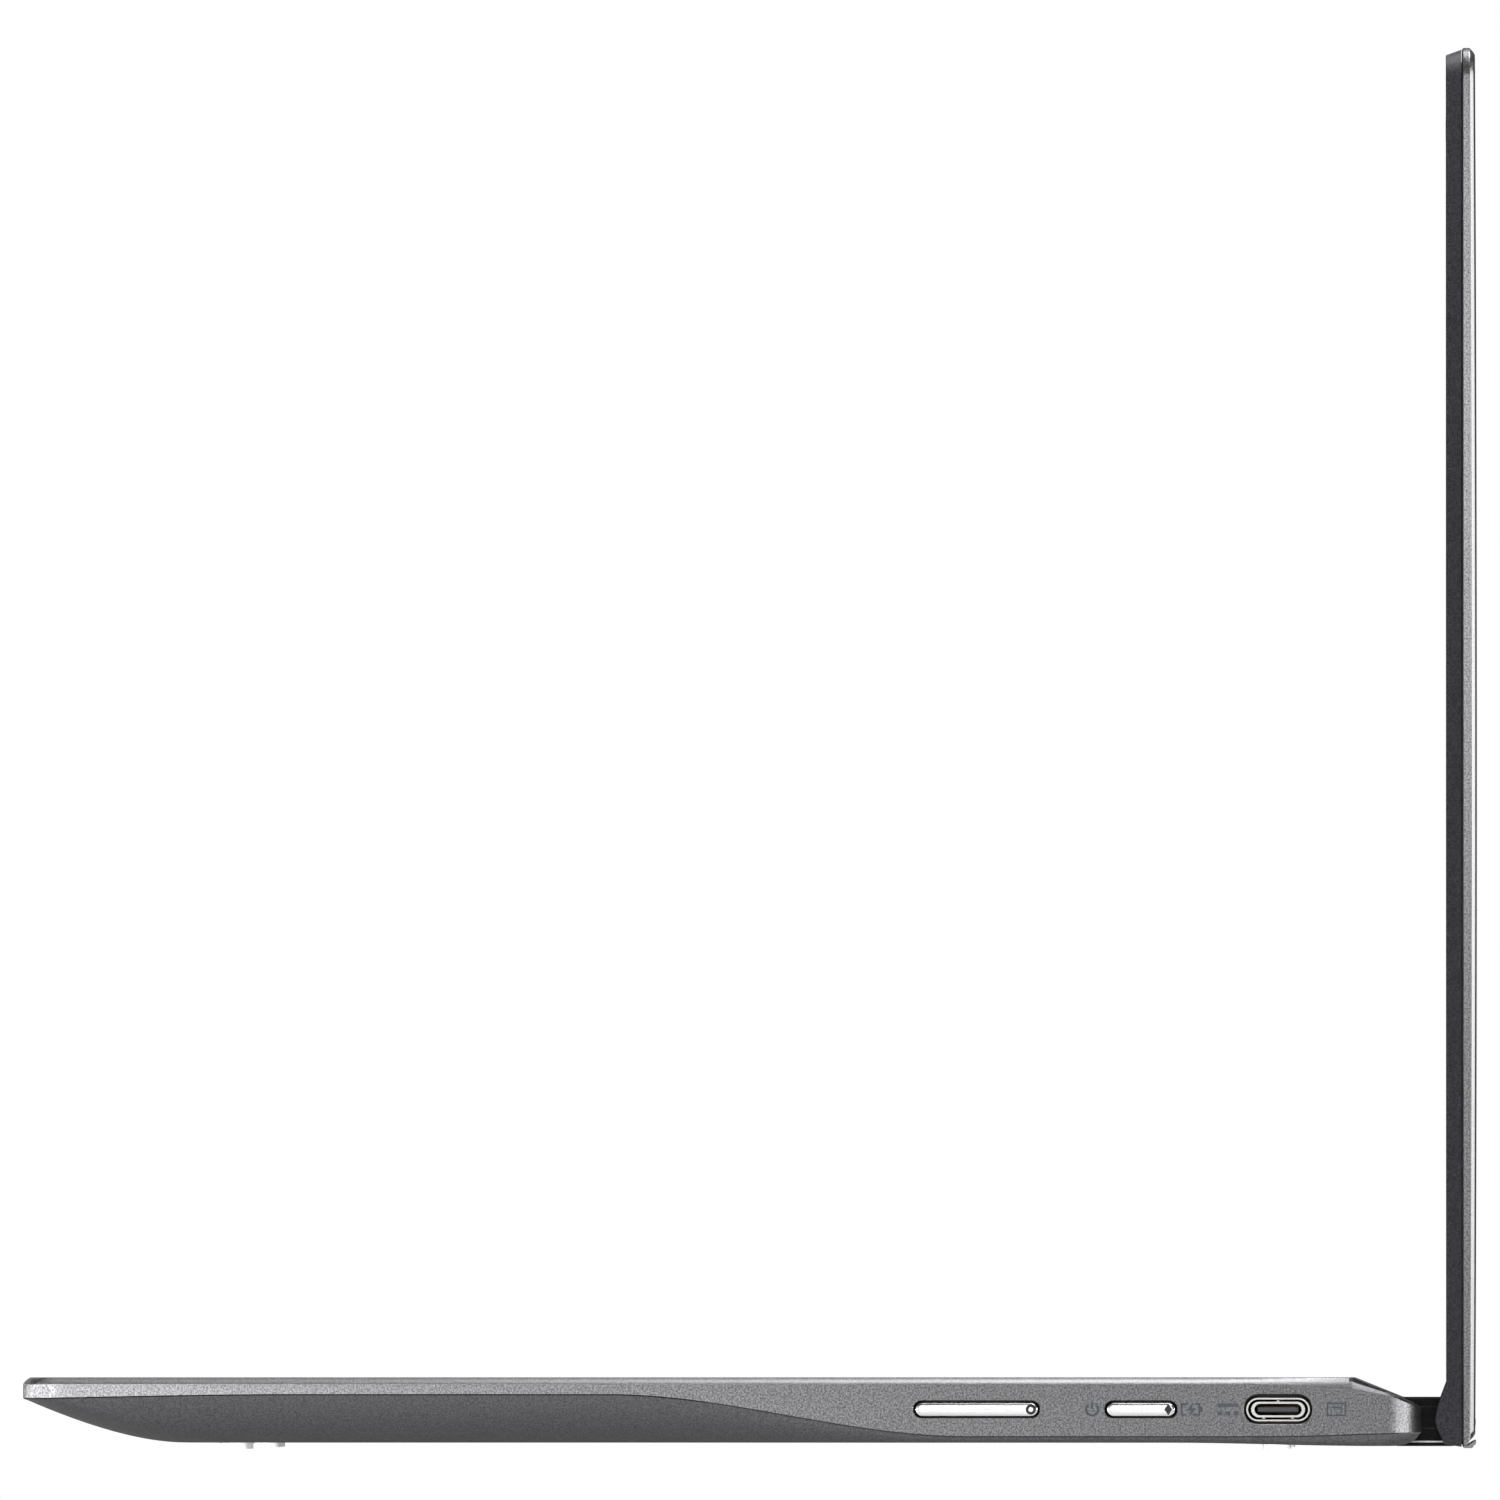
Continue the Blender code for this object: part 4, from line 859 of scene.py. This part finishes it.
def make_button(slot_name):
    """A polished pill with a rounded rim, standing on a flange behind the wall; the flange and the pill's
    sides are painted black as shade.
    """
    _, y, z, _, _ = SIDE_SLOTS[slot_name]
    node, length = BUTTONS[slot_name]
    face = node_box(node)[1].x
    flange = capsule(length + 1.8, BUTTON_HEIGHT + 1.6)
    steps = [(0.0, HALF - 1.99), *[(shrink, face - back) for shrink, back in PILL]]
    levels = [(flange, HALF - 3.0), (flange, HALF - 2.0), *capsule_levels(length, BUTTON_HEIGHT, steps)]
    button = stack(node + "_pill", levels, "X", (y, z))
    end = (y + length / 2 - MARK_FROM_END, z)
    if slot_name == "volume":
        ring = cylinders("dimple", [("X", (face, *end), 0.75, 0.95, 0.6)], 32)
        combine(ring, cylinders("dome", [("X", (face, *end), 0.45, 0.35, 1.2)], 32))
        combine(button, ring)
    finish(button, "polished", node, node, sharp=40)
    # The flange and the pill's sides get the black inside look: painted shade.
    paint(button, "inside", lambda x, y, z, normal: normal.x < 0.3 or x < HALF - 1.5)

    def in_dimple(x, y, z, normal):
        return math.dist((y, z), end) < DIMPLE_RADIUS and HALF - 1.0 < x < face - 0.02

    if slot_name == "volume":
        # The groove round the volume button's mark is painted dark: painted shade.
        paint(button, "window_and_painted_shade", in_dimple)
    else:
        # The dark diamond on the power button is a painted reflection of its end.
        diamond = [(0.0, -0.97), (0.68, 0.0), (0.0, 0.97), (-0.68, 0.0)]
        window_and_painted_shade = prism(node + "_window", diamond, face - 0.1, face + 0.015, "X", end)
        finish(window_and_painted_shade, "window_and_painted_shade", body=node)


def port_reach(node):
    """How far from the middle plane a port's back and its mouth stand."""
    low, high = node_box(node)
    return sorted((abs(low.x), abs(high.x)))


def make_collar(slot_name, hole):
    """A black gasket behind the wall that closes the gap round a socket."""
    side, y, z, length, height = SIDE_SLOTS[slot_name]
    near, far = side * (HALF - WALL - 0.8), side * (HALF - WALL + 0.15)
    outline = rounded(length + 2.4, height + 2.0, 1.0)
    collar = prism(slot_name + "_collar", outline, near, far, "X", (y, z))
    combine(collar, prism("hole", hole, near - side, far + side, "X", (y, z)))
    finish(collar, "inside", sharp=30)


# A USB-C socket: length and height of each shell outside and inside, of its tongue, and the pins' pitch.
USB_RING, USB_SHELL = ((10.85, 4.1), (10.1, 3.4)), ((9.15, 2.72), (7.95, 1.95))
USB_TONGUE, PIN_PITCH, PIN_COUNT = (6.9, 0.85), 0.5, 12
# The spring nibs in a USB-C shell: their places beside and above its middle, and their foot and tip.
USB_NIBS = ((-2.4, -1.42, -0.1, 0.2), (2.4, -1.42, -0.1, 0.2), (0.0, 1.45, -0.12, 0.16))


def make_usb_c(node, slot_name):
    side, y, z, _, _ = SIDE_SLOTS[slot_name]
    back, mouth = port_reach(node)

    def tube(name, outer, inner, near, far, lip):
        """A shell with a rounded lip, closed at its back."""
        steps = ((0.0, side * near), (0.0, side * (far - lip)), (2 * lip, side * far))
        shape = stack(node + name, capsule_levels(*outer, steps), "X", (y, z))
        hole = prism("hole", capsule(*inner), side * (near + 0.8), side * (far + 1.0), "X", (y, z))
        combine(shape, hole)
        return shape

    # Inward faces and the depths of the socket get the black inside look: painted shade.
    def in_depths(x, y, z, normal):
        return side * normal.x < 0.3 or abs(x) < mouth - 1.0

    ring = tube("_ring", *USB_RING, back, mouth, 0.1)
    finish(ring, "port", node, sharp=30)
    paint(ring, "inside", in_depths)
    make_collar(slot_name, capsule(10.5, 3.75))
    shell = tube("_shell", *USB_SHELL, back + 0.9, mouth - 0.2, 0.06)
    nibs = []
    for beside, above, foot, tip in USB_NIBS:
        nib = [(-0.3, foot), (0.3, foot), (0.0, tip)]
        centre = (y + beside, z + above)
        nibs.append(prism("nib", nib, side * (mouth - 2.0), side * (mouth - 0.25), "X", centre))
    combine(shell, join(nibs, "nibs"), operation="UNION")
    finish(shell, "port", sharp=30)
    paint(shell, "inside", in_depths)
    steps = (
        (0.0, 0.15, side * (back + 1.0)),
        (0.0, 0.15, side * (mouth - 0.8)),
        (0.2, 0.12, side * (mouth - 0.65)),
    )
    tongue = stack(node + "_tongue", rounded_levels(*USB_TONGUE, steps, 3), "X", (y, z + 0.02))
    finish(tongue, "tongue", sharp=30)
    near, far = sorted((side * (mouth - 4.5), side * (mouth - 1.15)))
    pins = []
    for pin_y in spread(y - PIN_PITCH * (PIN_COUNT - 1) / 2, PIN_PITCH, PIN_COUNT):
        for flat in (z - 0.4, z + 0.44):
            pins.append(((near, pin_y - 0.13, flat - 0.03), (far, pin_y + 0.13, flat + 0.03)))
    finish(boxes(node + "_contacts", pins), "copper")


def make_shaped_port(node, slot_name, outer, inner, tongue, tongue_up):
    """A socket with a shell between two outlines, and a flat tongue."""
    side, y, z, _, _ = SIDE_SLOTS[slot_name]
    back, mouth = port_reach(node)
    shell = prism(node + "_shell", outer, side * back, side * mouth, "X", (y, z))
    combine(shell, prism("hole", inner, side * (back + 0.8), side * (mouth + 1), "X", (y, z)))
    finish(shell, "port", node, sharp=30, width=0.08)
    outline = rounded(*tongue, 0.15, 3)
    near, far = side * (back + 0.7), side * (mouth - 1.0)
    blade = prism(node + "_tongue", outline, near, far, "X", (y, z + tongue_up))
    finish(blade, "dark", sharp=30, width=0.06)


def hdmi_outline(length, height):
    """A slot whose lower corners are cut away."""
    x, z = length / 2, height / 2
    return [(2.0 - x, -z), (x - 2.0, -z), (x, 1.9 - z), (x, z), (-x, z), (-x, 1.9 - z)]


def make_jack():
    low, high = node_box("headphone_jack")
    x, y, z = node_middle("headphone_jack")
    barrel = cylinders("headphone_jack_barrel", [("X", (x, y, z), 2.9, 2.9, high.x - low.x)])
    combine(barrel, cylinders("bore", [("X", (low.x + 4.5, y, z), 1.75, 1.75, 11.0)]))
    finish(barrel, "dark", "headphone_jack", sharp=30, width=0.12)


def make_ports():
    for side in ("right", "left"):
        make_usb_c("usb_c_port_" + side, "usb_c_" + side)
    outer, inner = rounded(12.9, 5.7, 0.4, 3), rounded(12.3, 5.1, 0.25, 3)
    make_shaped_port("usb_a_port", "usb_a", outer, inner, (11.0, 1.8), 0.9)
    make_shaped_port("hdmi_port", "hdmi", hdmi_outline(14.7, 5.3), hdmi_outline(14.0, 4.6), (11.0, 1.0), 0.3)
    make_jack()


def arc_outline(radius, width, start, end):
    """A curved stroke round the origin, between two angles in degrees."""
    outer, inner = [arc(0.0, 0.0, radius + grow, start, end, 24) for grow in (width / 2, -width / 2)]
    return outer + inner[::-1]


def box_outlines(*limits):
    """Straight strokes, each (low x, low z, high x, high z)."""
    return [[(x0, z0), (x1, z0), (x1, z1), (x0, z1)] for x0, z0, x1, z1 in limits]


ICON_LEVEL = 6.7
POWER_ICON = [arc_outline(1.0, 0.36, 127, 413), *box_outlines((-0.18, 0.1, 0.18, 1.3))]
BATTERY_ICON = [
    *box_outlines((-1.85, -1.05, -1.52, 1.05), (-1.52, 0.72, -0.55, 1.05), (-1.52, -1.05, -0.95, -0.72)),
    *box_outlines((1.12, -1.05, 1.45, 1.05), (0.55, 0.72, 1.12, 1.05), (0.15, -1.05, 1.12, -0.72)),
    *box_outlines((1.45, -0.5, 1.8, 0.5)),
    [(0.35, 1.3), (-0.85, -0.2), (-0.12, -0.2), (-0.55, -1.3), (0.75, 0.2), (0.05, 0.2)],
]
SUPPLY_ICON = box_outlines(
    (-1.8, 0.4, 1.8, 1.0), *[(middle - 0.42, -1.0, middle + 0.42, -0.33) for middle in (-1.36, 0.0, 1.36)]
)
DISPLAY_ICON = [
    *box_outlines((-1.65, -1.15, -1.35, 1.15), (1.35, -1.15, 1.65, 1.15), (-1.35, -1.15, 1.35, -0.85)),
    *box_outlines((-1.35, 0.85, 1.35, 1.15), (-0.9, 0.2, 0.95, 0.45), (0.65, -0.6, 0.95, 0.2)),
]
HEADPHONE_ICON = [
    arc_outline(0.95, 0.3, 0, 180),
    *box_outlines((-1.2, -1.0, -0.7, 0.0), (0.7, -1.0, 1.2, 0.0)),
]
# Each icon: the slot it stands beside, its distance from the slot's middle, and its strokes.
ICONS = {
    "power": ("power", -8.2, POWER_ICON),
    "battery": ("power", 8.5, BATTERY_ICON),
    "supply": ("usb_c_right", -8.4, SUPPLY_ICON),
    "display_right": ("usb_c_right", 9.8, DISPLAY_ICON),
    "display_left": ("hdmi", -10.2, DISPLAY_ICON),
    "headphone": ("headphone", -5.8, HEADPHONE_ICON),
}


def make_icons():
    """Marks printed on the side walls, each a skin only as thick as the ink."""
    for name, (slot_name, beside, outlines) in ICONS.items():
        side, y, *_ = SIDE_SLOTS[slot_name]
        near, far, centre = side * (HALF - PRINT - 0.05), side * HALF, (y + beside, ICON_LEVEL)
        strokes = [prism("stroke", outline, near, far, "X", centre) for outline in outlines]
        finish(join(strokes, "icon_" + name), "icon")


# ---------------------------------------------------------------- hinges
LINK_ROUND = ((0.5, 0.0), (0.12, 0.08), (0.0, 0.3))  # how much a link's outline shrinks, and how far in
# Marks that stand slightly proud of a link's ends: front and rear from its middle, low and high.
LINK_RIBS = ((-2.6, 2.6, 5.6, 6.9), (-2.6, 2.6, 1.6, 3.3))
# The next row is a bright polished strip on each end of a link: a painted highlight along its lower edge.
LINK_PAINTED_HIGHLIGHT = ((-5.2, 3.2, 1.12, 1.4),)
LINK_SEAMS = ((-2.6, 2.6, 7.06, 7.26), (-2.6, 2.6, 3.42, 3.62))
LINK_PROUD = 0.1


def link_marks(name, marks, spans, y):
    """Boxes for the marks, a little longer than each span between two X places."""
    limits = []
    for near, far in spans:
        for front, rear, bottom, top in marks:
            limits.append(((near - LINK_PROUD, y + front, bottom), (far + LINK_PROUD, y + rear, top)))
    return boxes(name, limits)


def make_links():
    for side in ("left", "right"):
        node, body = "hinge_link_" + side, "link_" + side
        low, high = node_box(node)
        x, y, z = node_middle(node)
        steps = [(shrink, low.x + back) for shrink, back in LINK_ROUND]
        steps += [(shrink, high.x - back) for shrink, back in LINK_ROUND[::-1]]
        levels = capsule_levels(high.y - low.y, high.z - low.z, steps, 24)
        link = stack(node + "_cover", levels, "X", (y, z))
        bores = [("X", (x, *axis), 1.45, 1.45, LINK_WIDTH + 4.0) for axis in (AXIS_A, AXIS_B)]
        combine(link, cylinders("bores", bores, 40))
        combine(link, link_marks("ribs", LINK_RIBS, [(low.x, high.x)], y), operation="UNION")
        finish(link, "hinge", node, body, sharp=40)
        ends = [(low.x, low.x), (high.x, high.x)]
        finish(link_marks(node + "_painted_highlight_strip", LINK_PAINTED_HIGHLIGHT, ends, y), "port", body=body)
        finish(link_marks(node + "_seams", LINK_SEAMS, ends, y), "hinge_line", body=body)


# ---------------------------------------------------------------- lid
# The lid is made lying down: its depth is along Z and its length along Y. This stands it up.
LID_PLACE = Matrix.Translation(Vector((0.0, LID_FACE, LID_BOTTOM)) * MM) @ Matrix(
    ((1, 0, 0, 0), (0, 0, 1, 0), (0, 1, 0, 0), (0, 0, 0, 1))
)
LID_CORNER, LID_FOOT_CORNER, LID_CROWN = 5.0, 1.2, 0.3
COVER_DEPTH = 2.7
SEAL = 0.6
LID_STATIONS = spread(8.0, 7.0, 32)
BEZEL_STATIONS = sorted(spread(3.0, 0.4, 21) + LID_STATIONS[1:])
BULGE = ((0.0, 0.0), (0.5, 0.35), (2.9, 1.5), (4.5, 1.9), (6.2, 1.6), (8.2, 1.05), (11.0, 0.0))


def swollen(depth, share=1.0):
    """A depth that swells out of the screen face near the hinge, in straight lines between the points."""

    def at(height):
        for (low, a), (high, b) in zip(BULGE, BULGE[1:]):
            if low <= height <= high:
                return depth - share * (a + (b - a) * (height - low) / (high - low))
        return depth

    return at


def crowned(depth, share=1.0):
    """A depth that bows outwards towards the middle of the lid's length."""
    return lambda y: depth + share * LID_CROWN * (1 - (2 * y / LID_LENGTH - 1) ** 2)


def lid_ladder(name, steps, stations=LID_STATIONS):
    """A loft through the lid's outline: steps are (depth, inset, inset at the bottom)."""
    levels = []
    for depth, inset, bottom in steps:
        half, radius = HALF - inset, LID_CORNER - min(inset, 2.0)
        top = LID_LENGTH - inset
        outline = half_outline(bottom, top, lambda y: half, LID_FOOT_CORNER, radius, stations, 8)
        levels.append([(x, y, depth(y) if callable(depth) else depth) for x, y in outline])
    return ladder(name, levels, LID_PLACE)


def cut_lid_notches(shell):
    reach = AXIS_B[1] + LINK_RADIUS + NOTCH_MARGIN
    combine(shell, boxes("lid_notches", notch_boxes(LID_FACE - 5, LID_FACE + 9, -5, reach)))


def make_lid_cover():
    steps = (
        (COVER_DEPTH, 0.3, 0.2),
        (COVER_DEPTH + 0.27, 0.0, 0.0),
        (crowned(3.4, 0.5), 0.0, 0.0),
        (crowned(3.9), 0.0, 1.0),
        (crowned(4.05), 0.06, 1.1),
        (crowned(4.6), 0.68, 1.7),
        (crowned(4.87), 1.15, 2.1),
        (crowned(4.9), 1.5, 2.3),
    )
    cover = lid_ladder("lid_cover_shell", steps)
    combine(cover, lid_ladder("hollow", ((COVER_DEPTH - 1, 1.8, 2.6), (crowned(4.1), 1.8, 2.6))))
    cut_lid_notches(cover)
    finish(cover, "lid", "lid_cover", "lid", sharp=24)

    def on_chamfer(x, y, z, normal):
        edge = abs(x) > HALF - 1.2 or z > LID_BOTTOM + LID_LENGTH - 1.2
        return edge and 0.2 < normal.y < 0.97 and y > LID_FACE + 3.9

    # The cover's faces in the seam with the bezel get the black inside look: painted shade.
    def in_seam(x, y, z, normal):
        return normal.y < -0.3 and y < LID_FACE + COVER_DEPTH + 0.4

    # The lid's chamfer gets a pale copy of the lid metal: a painted highlight.
    paint(cover, "lid_edge_painted_highlight", on_chamfer)
    # The outermost strip of the lid's chamfer gets the dark copy of the metal: a painted dark reflection.
    paint(cover, "edge_painted_dark_reflection", lambda *face: face[-1].y > 0.8 and on_chamfer(*face))
    paint(cover, "inside", in_seam)


def make_bezel():
    steps = (
        (swollen(0.0), 1.5, 0.7),
        (swollen(0.0), 1.32, 0.5),
        (swollen(0.12), 1.2, 0.42),
        (COVER_DEPTH - 0.1, 0.3, 0.0),
        (COVER_DEPTH - 0.08, 1.95, 1.5),
        (COVER_DEPTH + 0.5, 1.95, 1.5),
    )
    bezel = lid_ladder("display_bezel_frame", steps, BEZEL_STATIONS)
    hollow = ((swollen(0.9, 1.05), 2.4, 1.6), (COVER_DEPTH + 1, 2.4, 1.6))
    combine(bezel, lid_ladder("hollow", hollow, BEZEL_STATIONS))
    combine(bezel, screen_plate("window_and_painted_shade", SEAL, 3.0, ((0.0, -3.0), (0.0, 4.0))))
    cut_lid_notches(bezel)
    finish(bezel, "bezel", "display_bezel", "lid", sharp=24)
    # The bezel's side faces in the seam with the cover get the black inside look: painted shade.
    paint(bezel, "inside", lambda x, y, z, normal: abs(x) > HALF - 1.6 and normal.y < -0.5)


def screen_plate(name, grow, radius, steps):
    """A plate on the screen's outline: steps are (how much it shrinks, depth behind the screen face)."""
    length, height = 2 * (GLASS["half"] + grow), GLASS["top"] - GLASS["bottom"] + 2 * grow
    middle = (0.0, LID_BOTTOM + (GLASS["bottom"] + GLASS["top"]) / 2)
    placed = [(shrink, radius, -(LID_FACE + depth)) for shrink, depth in steps[::-1]]
    return stack(name, rounded_levels(length, height, placed), "Y", middle)


def make_screen():
    glass = screen_plate("cover_glass_pane", 0.0, 2.4, ((0.24, 0.0), (0.0, 0.12), (0.0, 1.0)))
    finish(glass, "glass", "cover_glass", "lid", sharp=60)
    seal = screen_plate("screen_seal_ring", SEAL - 0.05, 2.9, ((0.2, 0.05), (0.0, 0.15), (0.0, 1.0)))
    combine(seal, screen_plate("hole", 0.05, 2.45, ((0.0, -2.0), (0.0, 3.0))))
    finish(seal, "rubber", "screen_seal", "lid", sharp=40)


# The camera's parts in the glass border above the picture: look, x, radius, and how far they stand out.
WEBCAM = {
    "webcam_ring": ("dark", 0.0, 2.2, 0.015),
    "webcam_lens": ("window_and_painted_shade", 0.0, 1.35, 0.03),
    "webcam_light": ("legend", 8.5, 0.45, 0.015),
}
WEBCAM_HEIGHT = LID_BOTTOM + GLASS["top"] - 7.2


def make_webcam():
    for name, (look, x, radius, proud) in WEBCAM.items():
        disc = [("Y", (x, LID_FACE - proud + 0.2, WEBCAM_HEIGHT), radius, radius, 0.4)]
        finish(cylinders(name, disc, 40), look, body="lid", sharp=40, slot="dark_plastic")


make_top_case()
make_bottom_cover()
make_keys()
make_touchpad()
make_button("volume")
make_button("power")
make_ports()
make_icons()
make_links()
make_lid_cover()
make_bezel()
make_screen()
make_webcam()

# ---------------------------------------------------------------- CAD nodes that keep their shape
FEET = [f"foot_{end}_{side}" for end in ("front", "rear") for side in ("left", "right")]
HINGE_ARMS = [f"hinge_{part}_arm_{side}" for part in ("base", "lid") for side in ("left", "right")]
KEPT = {
    "steel": ["keyboard_plate", *[f"case_screw_{i}" for i in range(1, 7)], *HINGE_ARMS],
    "bumper": ["lid_rear_bumper"],
    "foot": FEET,
    "board": ["mainboard", "wifi_card", "webcam_module", "display_board", "side_switch_board"],
    "copper": ["heat_pipe", "heat_spreader"],
    "film": ["battery_pack"],
    "dark": ["fan_housing", "fan_rotor", "speaker_left", "speaker_right", "lcd_panel"],
}
for kept_look, kept_nodes in KEPT.items():
    for kept_node in kept_nodes:
        materials = frame["nodes"][kept_node].data.materials
        materials.clear()
        materials.append(LOOKS[kept_look])

# ---------------------------------------------------------------- studio, in metres
# Each light: place, target, (width, height), power in watts. None is seen by the camera. The low ones
# stand below the deck's level, so that they light the side walls and leave the deck alone.
LOW = 0.0085
LIGHTS = {
    "front_key": ((0.62, -0.24, LOW), (0.15, -0.12, LOW), (0.16, 0.015), 1.02),
    "lid_key": ((0.47, 0.13, 0.185), (0.15, 0.12, 0.16), (0.1, 0.1), 0.165),
    "lid_top": ((0.13, 0.12, 0.3), (0.14, 0.12, 0.23), (0.1, 0.03), 0.03),
    "top_box": ((0.2, 0.1, 0.4), (0.14, 0.07, 0.01), (0.2, 0.2), 0.5),
    "rear_painted_highlight_strip": ((0.42, 0.52, LOW), (0.15, 0.12, LOW), (0.5, 0.015), 1.1),
    "rear_box": ((0.1, 1.1, 0.15), (0.1, 0.12, 0.1), (0.7, 0.6), 1.9),
    "front_painted_highlight_strip": ((0.35, -0.6, LOW), (0.15, -0.1, LOW), (0.8, 0.015), 2.2),
    "front_card": ((-0.15, -0.75, LOW), (0.1, -0.12, LOW), (0.5, 0.015), 0.7),
    "face_card": ((7.8, 0.0, 0.12), (0.15, 0.0, 0.1), (1.3, 1.3), 11),
    "left_fill": ((-1.1, -0.5, 0.6), (-0.1, 0.0, 0.05), (0.9, 0.9), 1.0),
    "deck_fill": ((0.95, -0.95, 0.4), (0.0, 0.0, 0.02), (0.9, 0.4), 0.7),
    "overhead": ((0.0, 0.0, 1.6), (0.0, 0.0, 0.0), (1.6, 1.6), 3.7),
}
FOOT_CARD = ((0.9, 0.5, LOW), (0.12, 0.5, LOW), (3.4, 0.015), 26.0)
SCREEN_FRONT = ("cover_glass_pane", "screen_seal_ring", "display_bezel_frame")
KEPT_OFF = {
    "front_key": ("floor", "lid_cover_shell", *SCREEN_FRONT),
    "front_painted_highlight_strip": ("floor", *SCREEN_FRONT),
    "front_card": ("floor", *SCREEN_FRONT),
    "rear_painted_highlight_strip": ("floor", "lid_cover_shell"),
    "top_box": ("lid_cover_shell",),
    "lid_key": ("top_case_shell",),
}
WORLD_GLOW, FLOOR_GLOW = 0.06, 0.22
FLOOR_RADIUS, FLOOR_DROP = 0.7, 0.0002
FOCAL_LENGTH, SENSOR, VIEW_WIDTH = 1000.0, 36.0, 0.25178
VIEW_MIDDLE = (HALF * MM, 0.00012, 0.1174)


def add_light(name, place, target, size, power):
    light = bpy.data.lights.new(name, "AREA")
    light.energy = power
    light.shape = "RECTANGLE"
    light.size, light.size_y = size
    obj = new_object(name, light)
    obj.location = place
    obj.rotation_euler = (Vector(target) - Vector(place)).to_track_quat("-Z", "Y").to_euler()
    obj.visible_camera = False
    return obj


def link_light(light, names):
    """Light linking: the light falls on the named objects alone."""
    receivers = bpy.data.collections.new(light.name + "_receivers")
    for name in names:
        receivers.objects.link(bpy.data.objects[name])
    light.light_linking.receiver_collection = receivers
    return receivers


def make_lights():
    for name, light in LIGHTS.items():
        obj = add_light(name, *light)
        if name in KEPT_OFF:
            for item in link_light(obj, KEPT_OFF[name]).collection_objects:
                item.light_linking.link_state = "EXCLUDE"
    foot_card = add_light("foot_card", *FOOT_CARD)
    foot_card.data.use_shadow = False
    link_light(foot_card, FEET)


def make_world():
    """White to the camera, and a dim even glow for everything else."""
    world = bpy.data.worlds.new("studio")
    world.use_nodes = True
    nodes, links = world.node_tree.nodes, world.node_tree.links
    mix = nodes.new("ShaderNodeMixShader")
    path = nodes.new("ShaderNodeLightPath")
    sights = ((nodes["Background"], WORLD_GLOW), (nodes.new("ShaderNodeBackground"), 1.0))
    for slot, (sight, strength) in enumerate(sights, 1):
        sight.inputs["Color"].default_value = (1.0, 1.0, 1.0, 1.0)
        sight.inputs["Strength"].default_value = strength
        links.new(sight.outputs["Background"], mix.inputs[slot])
    links.new(path.outputs["Is Camera Ray"], mix.inputs["Fac"])
    links.new(mix.outputs["Shader"], nodes["World Output"].inputs["Surface"])
    bpy.context.scene.world = world


def make_floor():
    """A pale round floor that fades into the white, and is clear from below so that the lid stays
    visible in the folded poses."""
    bm = bmesh.new()
    bmesh.ops.create_circle(bm, cap_ends=True, segments=96, radius=FLOOR_RADIUS)
    floor = new_object("floor", mesh_from("floor", bm))
    floor.location.z = -FLOOR_DROP
    m = Nodes("floor_paper")
    m.set(Base_Color=m.mix(m.noise(4.0, 3.0), (0.9, 0.9, 0.9), (0.93, 0.93, 0.93)), Roughness=0.9)
    m.set(Emission_Color=(1.0, 1.0, 1.0), Emission_Strength=FLOOR_GLOW)
    reach = m.new("ShaderNodeVectorMath", {0: m.position}, operation="LENGTH").outputs["Value"]
    grazing = m.span(m.new("ShaderNodeLayerWeight").outputs["Facing"], 0.45, 1.0, 0.8, 0.95)
    seen = m.new("ShaderNodeLightPath").outputs["Is Camera Ray"]
    fade = m.math("MULTIPLY", m.math("MAXIMUM", grazing, m.span(reach, 0.0, 1.0, 0.25, 0.65)), seen)
    below = m.new("ShaderNodeNewGeometry").outputs["Backfacing"]
    white = m.new("ShaderNodeEmission").outputs["Emission"]
    clear = m.new("ShaderNodeBsdfTransparent").outputs["BSDF"]
    surface = m.shader.outputs["BSDF"]
    for share, other in ((fade, white), (below, clear)):
        surface = m.new("ShaderNodeMixShader", {0: share, 1: surface, 2: other}).outputs["Shader"]
    m.link(surface, m.tree.nodes["Material Output"].inputs["Surface"])
    floor.data.materials.append(m.material)


def make_camera():
    """Far to the right, level with the deck and in line with the lid's face, as in the photograph."""
    data = bpy.data.cameras.new("camera")
    data.lens, data.sensor_width = FOCAL_LENGTH, SENSOR
    data.clip_start, data.clip_end = 0.1, 50.0
    camera = new_object("camera", data)
    distance = VIEW_WIDTH * FOCAL_LENGTH / SENSOR
    place = Vector((distance + HALF * MM, LID_FACE * MM, DECK * MM))
    camera.location = place
    camera.rotation_euler = (Vector(VIEW_MIDDLE) - place).to_track_quat("-Z", "Y").to_euler()
    bpy.context.scene.camera = camera


make_world()
make_floor()
make_lights()
make_camera()
bpy.context.scene.view_settings.view_transform = "Standard"
